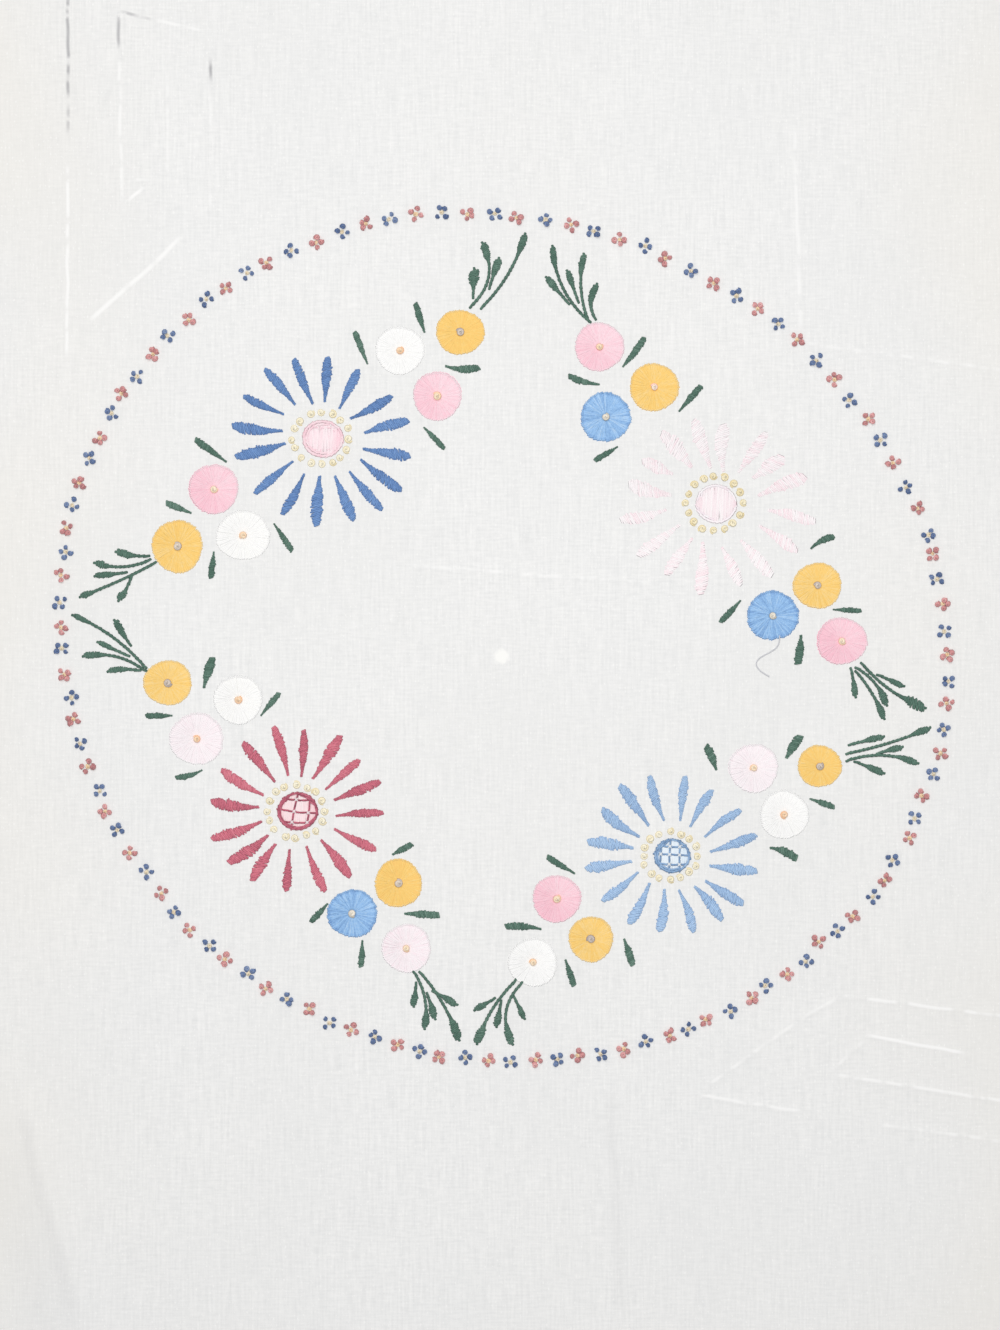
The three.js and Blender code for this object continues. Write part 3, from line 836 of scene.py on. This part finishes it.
tree, start = new_tree("satin stitches", {
    "Pitch": 0.7 * MM, "Thread Width": 1.15 * MM, "Height": 0.7 * MM, "Slant": 0.4,
    "Raggedness": 0.11, "Tone Spread": 0.12, "Steps": 7, "Sides": 5, "Seed": 0,
})
half_wide = add(tree, "InputNamedAttribute", ["half"])
lower = add(tree, "MapRange", [half_wide, 0.2 * MM, 1.4 * MM, 0.5, 1.0])
stitches = lay(
    tree, along_lines(tree, start), stitch(tree, start, 0.75, 0.75),
    turned(tree, add(tree, "InputTangent"), "X", near(tree, start, start["Slant"], 0.12, 2)),
    start["Thread Width"],
    add(tree, "Math MULTIPLY", [half_wide, near(tree, start, 1.0, start["Raggedness"], 3)]),
    add(tree, "Math MULTIPLY", [start["Height"], lower]),
)
satin = end_tree(tree, start, add(tree, "TranslateInstances", {
    "Instances": stitches, "Local Space": True,
    "Translation": add(tree, "CombineXYZ", {"Y": near(tree, start, 0.0, start["Raggedness"], 4)}),
}))


def fullness(share, narrow, widest, closes, closing, power=2):
    """How full a shape in satin stitch is at a share of its length, from 0 to 1: it starts
    narrow, grows until it is widest, and from where it closes draws in by closing."""
    grown = narrow + (1 - narrow) * smooth(share / widest)
    return grown * (1 - closing * max(0, (share - closes) / (1 - closes)) ** power)


def evenly(count):
    """So many shares from 0 to 1, evenly spaced."""
    return [i / (count - 1) for i in range(count)]


def polar(middle, out, bearing):
    """A point so far out from a daisy's middle, at a bearing in degrees."""
    angle = radians(bearing)
    return Vector((middle["x"] + out * cos(angle), middle["y"] + out * sin(angle)))


dice = random.Random(16)
shares = evenly(PETAL_POINTS)
for seed, (colour, daisy) in enumerate(DAISIES.items(), 31):
    lines, halves, tones = [], [], []
    loose = colour == "blush"
    for bearing_tip, reach, begin, aside in daisy["petals"]:
        tip = polar(daisy, reach, bearing_tip)
        narrow = polar(daisy, begin, bearing_tip + aside)
        way = tip - narrow
        bow = Vector((-way.y, way.x)).normalized() * dice.uniform(-PETAL_BOW, PETAL_BOW)
        widest = dice.uniform(*PETAL_WIDEST)
        wide = (LOOSE_HALF if loose else PETAL_HALF) * dice.uniform(*PETAL_FULL)
        tone = dice.uniform(*PETAL_TONES)
        lines.append([tuple(narrow.lerp(tip, share) + bow * sin(pi * share)) for share in shares])
        halves.append([
            wide * fullness(share, 0.26, widest, closes=widest, closing=0.5, power=2.4) * MM
            for share in shares
        ])
        tones.append([tone - DEEPER * (1 - share) ** 2 for share in shares])
    embroider(
        colour + "_daisy_petals", carrier(lines, half=halves, tone=tones), satin,
        cotton_thread(colour + "_cotton", *daisy["dye"], **(LOOSE_THREAD if loose else {})),
        seed=seed, **(LOOSE_SIZES if loose else {}),
    )

places, tones = [], []
for colour, daisy in DAISIES.items():
    for i in range(RING_KNOTS):
        angle = 2 * pi * (i + dice.uniform(-KNOT_STRAY_ROUND, KNOT_STRAY_ROUND)) / RING_KNOTS
        out = 1 + dice.uniform(-KNOT_STRAY_OUT, KNOT_STRAY_OUT)
        places.append([(
            daisy["x"] - RING_LEFT + out * daisy["knots"][0] * cos(angle),
            daisy["y"] + out * daisy["knots"][1] * sin(angle),
        )])
        tones.append(BLUSH_KNOT_TONE if colour == "blush" else KNOT_TONE)
embroider(
    "daisy_knots", carrier(places, turn=0, tone=tones, across=RING_KNOT_WIDE * MM),
    knots, cotton_thread("cream_cotton", "#F0DEAC", "#FFF6D8", "#FFFDF2"),
    height=0.36, unevenness=0.08, tone_spread=0.12, steps=10, sides=5, seed=41,
)


# The discs of the daisies: each is outlined in stem stitch, and filled with long upright
# stitches in a paler thread, which a trellis holds down. On two discs the trellis is in the
# filling's thread. On the others it is in the outline's, with pale ties on its crossings.

# Each disc: how far its outline is from the middle, across and up; more rows inside it, with
# their bearings and inset; how wide and high the threads of the outline and the trellis are;
# where the trellis's threads lie, from top to foot and from left to right; and the dyes.
DISCS = {
    "blue": {
        "radii": (7.6, 7.0), "rows": [(80, 270, 1.2)], "outline": (1.9, 0.25), "trellis": (0.9, 0.2),
        "down": [(-5.2, -5.4), (-0.8, -0.8), (4.5, 4.0)], "across": [(4.6, 4.4), (0.9, 0.4), (-4.4, -4.3)],
        "dye": ("#FBCDD9", "#FFE2E9", "#FFF1F5"), "filling": ("#FFCFDC", "#FFE8EE", "#FFF8FA"),
    },
    "blush": {
        "radii": (7.7, 7.2), "rows": [(150, 250, 1.0)], "outline": (1.8, 0.18), "trellis": (0.8, 0.16),
        "down": [(-2.6, -2.8), (2.2, 2.4)], "across": [(2.4, 2.6), (-2.4, -2.2)],
        "dye": ("#F8E2ED", "#FFF8FC", "#FFFFFF"), "filling": ("#F9E0E8", "#FDF3F6", "#FFFBFC"),
    },
    "sky": {
        "radii": (6.7, 6.2), "rows": [(115, 285, 0.8)], "outline": (1.5, 0.7), "trellis": (1.4, 0.6),
        "down": [(-4.3, -4.9), (-0.8, -1.3), (3.1, 2.8)], "across": [(4.0, 3.4), (0.8, 0.1), (-3.2, -3.6)],
        "dye": ("#6C8CB4", "#93B6DE", "#B8D4F2"), "filling": ("#D3E6F7", "#E9F4FD", "#F8FCFF"),
        "tie": ("#E2EFFB", "#F4FAFF", "#FFFFFF"),
    },
    "crimson": {
        "radii": (7.6, 7.0), "rows": [(30, 75, 0.7), (125, 325, 0.6)], "outline": (1.5, 0.7),
        "trellis": (1.4, 0.6), "down": [(-0.1, -2.8), (5.1, 3.5)],
        "across": [(5.0, 4.2), (0.6, -1.0), (-4.2, -4.6)],
        "dye": ("#96495C", "#C8657B", "#E08A9B"), "filling": ("#FACDD3", "#FFE3E6", "#FFF5F6"),
        "tie": ("#FBDCE2", "#FFF0F3", "#FFFBFC"),
    },
}
OUTLINE_POINTS = 41
# How uneven an outline is, across and up, as shares of its size.
OUTLINE_UNEVEN = (0.015, 0.02)
FILLING_POINTS = 15
# The tone of the filling, which is deeper by so much at its left and right ends.
FILLING_TONE = 0.6
FILLING_DEEPER = 0.35
# How far the filling and the trellis reach, as a share of the outline's distance.
FILLED = 0.97
TRELLIS_BOW = 0.25
TRELLIS_EVERY = 3
# The crossings that lie this far out, as a share of the outline's distance, have no tie.
TIED_TO = 0.85

tree, start = new_tree("single stitches", {
    "Stitch Length": 2.1 * MM, "Thread Width": 0.95 * MM, "Height": 0.95 * MM, "Steps": 5, "Sides": 4,
})
level = add(tree, "CombineXYZ", {"Z": add(tree, "InputNamedAttribute", ["turn"])})
single_stitches = end_tree(tree, start, lay(
    tree, start["Geometry"], stitch(tree, start, 0.7, 0.7), add(tree, "EulerToRotation", [level]),
    start["Thread Width"], add(tree, "Math MULTIPLY", [start["Stitch Length"], 0.5]),
    start["Height"],
))


def between(ends, share):
    """A place between two ends, for a share from -1 at the first to 1 at the second."""
    return (ends[0] + ends[1]) / 2 + (ends[1] - ends[0]) / 2 * share


for seed, (colour, disc) in enumerate(DISCS.items(), 51):
    x, y = DAISIES[colour]["x"], DAISIES[colour]["y"]
    wide, tall = disc["radii"]
    tied = "tie" in disc
    thread = cotton_thread(colour + "_disc_cotton", *disc["dye"], ridge=0.08 if tied else 0.015)
    laid_thread = cotton_thread(colour + "_filling_cotton", *disc["filling"], end_shade=0.15, ridge=0.015)
    shares = np.linspace(-FILLED, FILLED, FILLING_POINTS)
    embroider(
        colour + "_daisy_filling",
        carrier(
            [[(x + share * wide, y) for share in shares]],
            half=[[FILLED * tall * sqrt(1 - share ** 2) * MM for share in shares]],
            tone=[[
                FILLING_TONE - FILLING_DEEPER * smooth((abs(share + 0.1) - 0.45) / 0.5) for share in shares
            ]],
        ),
        satin, laid_thread,
        pitch=0.55 * MM, thread_width=2.1 * MM, height=0.2 * MM, slant=0.0, raggedness=0.02,
        tone_spread=0.25 if colour == "blush" else 0.12, steps=11, seed=seed + 20,
    )
    lines = [
        [(x + (wide - inset) * cos(a) * (1 + OUTLINE_UNEVEN[0] * sin(3 * a + seed)),
          y + (tall - inset) * sin(a) * (1 + OUTLINE_UNEVEN[1] * cos(2 * a + seed)))
         for a in np.radians(np.linspace(begin, end, OUTLINE_POINTS))]
        for begin, end, inset in [(0, 360, 0)] + disc["rows"]
    ]
    embroider(
        colour + "_daisy_outline", carrier(lines, tone=0.45), line_stitches, thread,
        pitch=1.8 * MM, stitch_length=3.6 * MM, thread_width=disc["outline"][0] * MM,
        height=disc["outline"][1] * MM, slant=0.12, unevenness=0.13, tone_spread=0.25, seed=seed,
    )
    # The trellis: its threads bow a little, and are tied down where they cross inside the disc.
    shares = np.linspace(-1, 1, OUTLINE_POINTS)
    lines = []
    for ends in disc["down"]:
        reach = [s for s in shares if hypot(between(ends, -s) / wide, s) < FILLED][::TRELLIS_EVERY]
        bow = dice.uniform(-TRELLIS_BOW, TRELLIS_BOW)
        lines.append([(x + between(ends, -s) + bow * cos(s * pi), y + s * tall) for s in reach])
    for ends in disc["across"]:
        reach = [s for s in shares if hypot(s, between(ends, s) / tall) < FILLED][::TRELLIS_EVERY]
        bow = dice.uniform(-TRELLIS_BOW, TRELLIS_BOW)
        lines.append([(x + s * wide, y + between(ends, s) + bow * cos(s * pi)) for s in reach])
    embroider(
        colour + "_daisy_trellis", carrier(lines, tone=0.35), line_stitches,
        thread if tied else laid_thread,
        pitch=2.1 * MM, stitch_length=2.8 * MM, thread_width=disc["trellis"][0] * MM,
        height=disc["trellis"][1] * MM, seed=seed + 10,
    )
    if tied:
        ties = []
        for down in disc["down"]:
            for across in disc["across"]:
                tie_x, tie_y = 0, 0
                for closer in range(4):
                    tie_x = between(down, -tie_y / tall)
                    tie_y = between(across, tie_x / wide)
                tie_x = between(down, -tie_y / tall)
                if hypot(tie_x / wide, tie_y / tall) < TIED_TO:
                    ties.append([(x + tie_x, y + tie_y)])
        crossed = [pi / 4, -pi / 4] * len(ties)
        embroider(
            colour + "_daisy_ties",
            carrier([tie for tie in ties for _ in range(2)], turn=crossed, tone=0.5),
            single_stitches, cotton_thread(colour + "_tie_cotton", *disc["tie"]),
        )


# The round flowers, three to a spray: buttonhole wheels, whose stitches run out from one
# hole in the middle and are linked round the rim by a small corded loop at each end. A
# French knot in another colour fills the hole.

# Each round flower: its place, how wide and how tall it is, and the colour of its knot.
ROUND_FLOWERS = {
    "orange": [
        (-16.7, 121.8, 19.4, 17.7, "lilac"), (-129.7, 36.2, 20.3, 21.2, "lilac"),
        (60.8, 99.8, 19.5, 19.0, "rose"), (126.1, 20.6, 19.4, 18.1, "lilac"),
        (126.9, -51.6, 17.5, 16.6, "lilac"), (35.5, -120.7, 17.6, 18.2, "lilac"),
        (-133.5, -18.3, 19.3, 17.8, "lilac"), (-41.5, -98.4, 18.8, 19.2, "lilac"),
    ],
    "white": [
        (-40.8, 114.5, 19.6, 19.2, "peach"), (-103.4, 40.6, 21.8, 19.8, "peach"),
        (112.8, -71.0, 19.6, 19.4, "peach"), (12.4, -130.0, 19.6, 19.4, "peach"),
        (-105.4, -25.1, 19.6, 19.4, "peach"),
    ],
    "pink": [
        (-25.9, 96.2, 19.1, 19.5, "peach"), (-115.1, 59.1, 19.6, 19.8, "peach"),
        (38.9, 116.0, 19.6, 19.4, "peach"), (135.9, -1.6, 20.0, 18.6, "peach"),
        (21.8, -104.6, 19.2, 18.8, "peach"),
    ],
    "shell": [
        (100.6, -52.4, 19.6, 19.4, "peach"), (-122.0, -40.8, 21.5, 20.6, "peach"),
        (-38.2, -124.4, 19.6, 19.4, "peach"),
    ],
    "azure": [
        (41.4, 87.9, 19.9, 19.8, "cream"), (108.2, 8.6, 20.6, 19.5, "cream"),
        (-59.8, -110.4, 20.0, 18.9, "cream"),
    ],
}
WHEEL_DYES = {
    "orange": ("#FEC46F", "#FFD376", "#FFE4A9"),
    "white": ("#FFFFFA", "#FFFFFE", "#FFFFFF"),
    "pink": ("#FDBCCE", "#FFD2DE", "#FFE9F0"),
    "shell": ("#FFDFEA", "#FFF5F9", "#FFFCFE"),
    "azure": ("#5E88C4", "#9AC6F4", "#CFE8FF"),
}
# The azure thread is the coarsest, and its stitches stand out the most; its rim is not painted lighter.
AZURE_SIZES = {
    "tone_spread": 0.15, "raggedness": 0.025, "height": 0.42 * MM, "rim_height": 0.4 * MM,
    "rim_painted_light": 0.0,
}
KNOT_DYES = {
    "lilac": ("#B2A8A8", "#E4D8CB", "#F8EDDB"),
    "rose": ("#FFC3BE", "#FFE8D6", "#FFFCEE"),
    "peach": ("#FFCA9F", "#FFE9CA", "#FFF9E8"),
    "cream": ("#C9C2B0", "#F9F1E2", "#FFFDF6"),
}
FLOWER_KNOT_WIDE = 3.7
WHEEL_TONES = (0.45, 0.6)
# The bearing in degrees at which a patch of another tone is strongest.
PATCH_BEARINGS = (200, 250)
# Where a stitch starts and ends, as a share of the way from the hole to the rim, and how
# wide and long a loop of the rim is.
SPOKE_FROM = 0.07
SPOKE_TO = 0.96
LOOP_WIDE = 1.1
LOOP_HALF_LONG = 0.5

tree, start = new_tree("buttonhole wheels", {
    "Stitches": 70, "Thread Width": 1.8 * MM, "Height": 0.3 * MM, "Rim Height": 0.25 * MM,
    "Raggedness": 0.02, "Wobble": 0.022, "Tone Spread": 0.1, "Rim Painted Light": 0.2, "Patch": 0.0,
    "Steps": 7, "Sides": 5, "Seed": 0,
})
points, number, apart = copied(tree, start, start["Stitches"])
angle = add(tree, "Math MULTIPLY", [near(tree, start, number, 0.22, 1), apart])
patch_at = add(tree, "InputNamedAttribute", ["turn"])
reach_x, reach_y = (add(tree, "InputNamedAttribute", [held]) for held in ("reach_x", "reach_y"))
rim = on_oval(tree, angle, reach_x, reach_y)
# The rim waves three times on its way round, by its wobble, from a place of the flower's own.
waves = add(tree, "Math MULTIPLY_ADD", [angle, 3.0, add(tree, "Math MULTIPLY", [patch_at, 40.0])])
wobble = add(tree, "Math MULTIPLY", [start["Wobble"], add(tree, "Math SINE", [waves])])
far = add(tree, "Math MULTIPLY", [
    add(tree, "Math ADD", [wobble, near(tree, start, 1.0, start["Raggedness"], 2)]),
    add(tree, "VectorMath LENGTH", [rim]),
])
from_patch = add(tree, "Math SUBTRACT", [angle, patch_at])
patch = add(tree, "Math MULTIPLY", [start["Patch"], add(tree, "Math COSINE", [from_patch])])
base = toned(tree, start, points, 3, patch)
for name, value in (("far", far), ("bearing", angle)):
    base = add(tree, "StoreNamedAttribute", {"Geometry": base, "Name": name, "Value": value})
far = add(tree, "InputNamedAttribute", ["far"])
out_way = on_oval(tree, add(tree, "InputNamedAttribute", ["bearing"]), 1.0, 1.0)


def moved_out(points, share):
    """The wheel's points, moved from its middle to a share of the way to the rim."""
    way = add(tree, "Math MULTIPLY", [far, share])
    offset = add(tree, "VectorMath SCALE", {0: out_way, "Scale": way})
    return add(tree, "SetPosition", {"Geometry": points, "Offset": offset})


spokes = lay(
    tree, moved_out(base, (SPOKE_FROM + SPOKE_TO) / 2),
    stitch(tree, start, 0.2, 0.95, root_reach=1.0), turned(tree, out_way, "Y", 0.0),
    start["Thread Width"],
    add(tree, "Math MULTIPLY", [far, (SPOKE_TO - SPOKE_FROM) / 2]), start["Height"],
)
# Painted light: the loops of the rim are lighter in tone than the spokes, against the shade that falls on
# them.
rim_painted_light = add(tree, "Math ADD", [add(tree, "InputNamedAttribute", ["tone"]), start["Rim Painted Light"]])
rim_base = add(tree, "StoreNamedAttribute", {"Geometry": base, "Name": "tone", "Value": rim_painted_light})
loops = lay(
    tree, moved_out(rim_base, SPOKE_TO), stitch(tree, start, 0.7, 0.7), turned(tree, out_way, "X", 0.5),
    LOOP_WIDE * MM, LOOP_HALF_LONG * MM, start["Rim Height"],
)
both = add(tree, "JoinGeometry", [spokes])
tree.links.new(loops.outputs[0], both.inputs[0])
wheels = end_tree(tree, start, both)

dice = random.Random(24)
middles = {colour: [] for colour in KNOT_DYES}
for seed, (colour, flowers) in enumerate(ROUND_FLOWERS.items(), 71):
    coarse = colour == "azure"
    embroider(
        colour + "_round_flowers",
        carrier(
            [[flower[:2]] for flower in flowers],
            reach_x=[flower[2] / 2 * MM for flower in flowers],
            reach_y=[flower[3] / 2 * MM for flower in flowers],
            turn=[radians(dice.uniform(*PATCH_BEARINGS)) for flower in flowers],
            tone=[dice.uniform(*WHEEL_TONES) for flower in flowers],
        ),
        wheels, cotton_thread(
            colour + "_wheel_cotton", *WHEEL_DYES[colour],
            end_shade=0.45 if coarse else 0.2, ridge=0.08 if coarse else 0.03,
        ),
        patch=-0.12 if colour == "pink" else 0.0, seed=seed, **(AZURE_SIZES if coarse else {}),
    )
    for x, y, wide, tall, knot in flowers:
        middles[knot].append([(x, y)])
for seed, (colour, places) in enumerate(middles.items(), 81):
    embroider(
        colour + "_flower_knots", carrier(places, turn=0, tone=0.5, across=FLOWER_KNOT_WIDE * MM),
        knots, cotton_thread(colour + "_knot_cotton", *KNOT_DYES[colour]),
        height=0.8, steps=10, sides=5, seed=seed,
    )


# The leaves and the grass, in dark green. A leaf is satin stitch, worked across from its
# thin end. A blade of grass is a line of stem stitch that ends in a broad tip of the same
# satin stitch, with the stem under its middle.

# Each leaf: its thin end, its other end, how wide it is, and how far its middle bends left.
LEAVES = [
    (-31.0, 121.9, -34.5, 133.1, 2.1, 0.0), (-53.8, 109.3, -58.8, 121.6, 1.9, 0.0),
    (-22.4, 108.2, -9.4, 107.6, 2.4, -1.0), (-31.1, 83.6, -23.2, 75.5, 1.8, 0.0),
    (-110.3, 70.1, -122.3, 78.7, 2.3, 0.0), (-124.4, 49.6, -133.9, 53.5, 2.2, 0.0),
    (-115.2, 33.8, -116.3, 23.8, 2.0, 0.0), (-91.0, 45.1, -84.0, 34.7, 2.0, 0.0),
    (48.4, 108.1, 56.7, 119.4, 2.2, -0.4), (38.7, 100.9, 26.9, 104.2, 2.2, 0.5),
    (70.9, 90.3, 79.4, 100.1, 2.2, 0.0), (46.0, 75.9, 37.3, 70.6, 1.8, 0.0),
    (123.6, 35.4, 132.4, 40.1, 2.2, 0.7), (95.2, 14.4, 87.5, 6.1, 2.0, 0.0),
    (132.5, 10.9, 143.2, 10.5, 1.7, 0.0), (119.5, 0.5, 118.4, -10.5, 2.8, 0.0),
    (85.6, -52.9, 81.6, -43.9, 2.6, -0.4), (113.7, -48.2, 119.0, -39.7, 3.0, 0.0),
    (123.2, -64.8, 132.5, -67.9, 2.0, 0.0), (107.3, -84.3, 117.6, -88.3, 2.6, 0.6),
    (28.9, -94.4, 18.3, -88.1, 2.0, 0.0), (15.4, -116.7, 1.7, -115.7, 2.3, -0.6),
    (48.8, -120.9, 52.3, -130.9, 2.4, 0.0), (25.4, -129.2, 28.7, -139.1, 2.2, 0.0),
    (-119.1, -20.1, -115.9, -8.5, 2.8, 0.0), (-96.2, -31.3, -89.2, -22.6, 1.9, 0.0),
    (-132.0, -31.4, -142.0, -31.6, 2.0, 0.0), (-120.0, -53.3, -130.0, -56.3, 1.9, 0.5),
    (-43.5, -86.9, -36.2, -82.9, 2.2, 0.0), (-69.8, -106.7, -76.1, -113.7, 1.9, 0.0),
    (-38.7, -110.6, -25.4, -111.1, 2.4, 0.0), (-55.8, -121.5, -56.3, -131.5, 2.0, 0.0),
]
LEAF_POINTS = 9
LEAF_FULL = 1.28
LEAF_WIDEST = (0.5, 0.68)
LEAF_TONES = (0.4, 0.55)
# Each blade of grass: its root, its tip, how far it bends left, and the length and width
# of its broad tip.
GRASS = [
    (-7.8, 132.0, 9.0, 160.2, -2.1, 9, 2.4), (-12.1, 132.5, -7.4, 156.7, -4.4, 7, 2.6),
    (-4.9, 140.2, -1.4, 150.5, 0.0, 8, 2.6), (-11.6, 136.4, -11.0, 146.2, 0.0, 7, 3.4),
    (-142.0, 32.2, -153.4, 33.9, 0.4, 8, 2.6), (-141.5, 30.4, -161.9, 29.4, 1.9, 6, 2.4),
    (-150.9, 25.6, -161.9, 24.5, 0.0, 10, 2.0), (-139.3, 29.2, -167.7, 16.4, 0.6, 6, 2.2),
    (-148.0, 24.0, -152.8, 15.3, 0.4, 5, 2.4),
    (34.5, 126.4, 20.3, 155.3, 3.4, 9, 2.2), (34.2, 126.9, 32.6, 152.2, 1.9, 9, 2.2),
    (30.2, 134.5, 26.4, 145.6, 0.0, 8, 2.0), (36.8, 127.8, 37.6, 140.2, 1.7, 10, 2.2),
    (26.1, 133.7, 18.3, 143.1, 0.0, 8, 2.4),
    (139.7, -13.6, 141.1, -23.0, 0.1, 7, 2.2), (142.1, -14.5, 152.3, -31.9, 0.9, 8, 2.4),
    (142.2, -12.6, 153.4, -26.5, 1.6, 8, 2.6), (144.3, -11.1, 168.3, -28.1, -1.9, 10, 3.6),
    (151.0, -15.4, 159.6, -19.4, 0.0, 7, 2.0),
    (139.6, -42.8, 151.7, -40.0, 0.0, 9, 2.2), (138.5, -46.4, 170.2, -36.7, -0.8, 8, 2.4),
    (150.9, -46.2, 159.2, -44.2, 0.0, 7, 2.2), (138.6, -49.1, 165.3, -50.2, 2.4, 9, 2.2),
    (141.8, -50.0, 151.7, -54.2, 0.0, 8, 2.4),
    (5.0, -137.8, -9.8, -161.7, -1.7, 8, 3.0), (7.4, -138.9, 3.8, -162.0, -4.0, 8, 2.6),
    (-3.6, -144.9, -10.2, -148.6, 0.0, 6, 2.2), (-0.4, -146.3, -2.1, -154.9, 0.0, 7, 2.4),
    (5.3, -144.6, 8.5, -151.7, 0.0, 6, 2.0),
    (-142.9, -11.8, -170.6, 8.4, -2.0, 8, 1.8), (-143.1, -13.2, -166.4, -7.5, -2.5, 9, 2.2),
    (-149.0, -2.6, -154.3, 5.9, 0.0, 9, 2.4), (-150.0, -7.3, -160.6, -2.4, 0.0, 8, 1.8),
    (-145.6, -13.4, -156.6, -13.5, -0.6, 9, 2.0),
    (-34.3, -139.2, -35.3, -146.8, 0.0, 6, 2.4), (-34.7, -134.5, -30.9, -155.6, 2.1, 7, 2.4),
    (-29.6, -143.2, -27.0, -151.7, 0.0, 7, 2.4), (-32.2, -134.5, -17.5, -160.2, 1.5, 10, 2.8),
    (-26.8, -141.9, -18.9, -146.5, 0.0, 7, 2.4),
]
BLADE_POINTS = 15
TIP_FULL = 1.2
STEM_WIDE = 1.9
BLADE_TONES = (0.35, 0.5)


def bowed(x0, y0, x1, y1, bend, count):
    """Points along a line that bows to its left by bend in the middle."""
    along_x, along_y = x1 - x0, y1 - y0
    far = hypot(along_x, along_y)
    made = []
    for share in evenly(count):
        out = 4 * bend * share * (1 - share) / far
        made.append((x0 + along_x * share - along_y * out, y0 + along_y * share + along_x * out))
    return made


def part_way(line, share):
    """The point at a share of the way along a line of evenly spaced points."""
    at = share * (len(line) - 1)
    low = min(int(at), len(line) - 2)
    return tuple(a + (b - a) * (at - low) for a, b in zip(line[low], line[low + 1]))


green = cotton_thread("green_cotton", "#3F5F53", "#597C6D", "#87A698")
dice = random.Random(32)
lines, halves, tones = [], [], []
for x0, y0, x1, y1, wide, bend in LEAVES:
    widest = dice.uniform(*LEAF_WIDEST)
    lines.append(bowed(x0, y0, x1, y1, bend, LEAF_POINTS))
    halves.append([
        LEAF_FULL * wide / 2 * fullness(share, 0.3, widest, closes=0.8, closing=0.25) * MM
        for share in evenly(LEAF_POINTS)
    ])
    tones.append(dice.uniform(*LEAF_TONES))
embroider(
    "leaves", carrier(lines, half=halves, tone=tones), satin, green,
    height=0.75 * MM, slant=0.35, raggedness=0.12, tone_spread=0.18, seed=91,
)

stems, stem_tones, tips, tip_halves, tip_tones = [], [], [], [], []
shares = evenly(BLADE_POINTS)
for x0, y0, x1, y1, bend, broad, wide in GRASS:
    line = bowed(x0, y0, x1, y1, bend, BLADE_POINTS)
    starts = max(0, 1 - broad / hypot(x1 - x0, y1 - y0))
    tone = dice.uniform(*BLADE_TONES)
    stems.append(line)
    stem_tones.append(tone - 0.05)
    tips.append([part_way(line, starts + (1 - starts) * share) for share in shares])
    tip_halves.append([
        TIP_FULL * wide / 2 * fullness(share, 0.35, 0.6, closes=0.85, closing=0.2) * MM
        for share in shares
    ])
    tip_tones.append(tone + 0.03)
embroider(
    "grass_stems", carrier(stems, tone=stem_tones), line_stitches, green,
    pitch=1.7 * MM, stitch_length=3.0 * MM, thread_width=STEM_WIDE * MM, height=0.6 * MM,
    slant=0.16, tone_spread=0.12, seed=92,
)
embroider(
    "grass_tips", carrier(tips, half=tip_halves, tone=tip_tones), satin, green,
    height=0.7 * MM, slant=0.3, raggedness=0.1, seed=93,
)


# The loose tail: an end of grey cotton, about 23 mm long, that has come up beside one of
# the azure flowers and lies in a hook on the cloth. It is too short to be a cord.
TAIL = [
    (110.9, 0.6), (110.8, -1.6), (109.9, -3.9), (107.4, -5.9), (104.6, -7.4), (102.2, -9.2),
    (101.6, -11.0), (102.6, -12.9), (104.4, -14.4), (106.8, -15.8),
]
TAIL_THICK = 0.5
tail_curve = bpy.data.curves.new("loose_tail", "CURVE")
tail_curve.dimensions = "3D"
tail_curve.bevel_depth = TAIL_THICK / 2 * MM
tail_curve.bevel_resolution = 2
tail_curve.use_fill_caps = True
tail_curve.resolution_u = 6
spline = tail_curve.splines.new("BEZIER")
spline.bezier_points.add(len(TAIL) - 1)
for point, (x, y) in zip(spline.bezier_points, TAIL):
    point.handle_left_type = point.handle_right_type = "AUTO"
    point.co = (x * MM, y * MM, (cloth_top(x, y) + TAIL_THICK * 0.45) * MM)
tail = keep("tail_path", tail_curve)
tail_mesh = bpy.data.meshes.new_from_object(tail.evaluated_get(bpy.context.evaluated_depsgraph_get()))
bpy.data.objects.remove(tail)
tail_mesh.name = "loose_tail"
for number in ("tone", "along"):
    write_numbers(tail_mesh, number, [0.5] * len(tail_mesh.vertices))
tail_mesh.materials.clear()
tail_mesh.materials.append(cotton_thread("grey_cotton", "#B4B5BB", "#CFD0D5", "#E6E7E9", shine=0.3))
tail_mesh.shade_smooth()
loose_tail = keep("loose_tail", tail_mesh)
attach(loose_tail, "root")
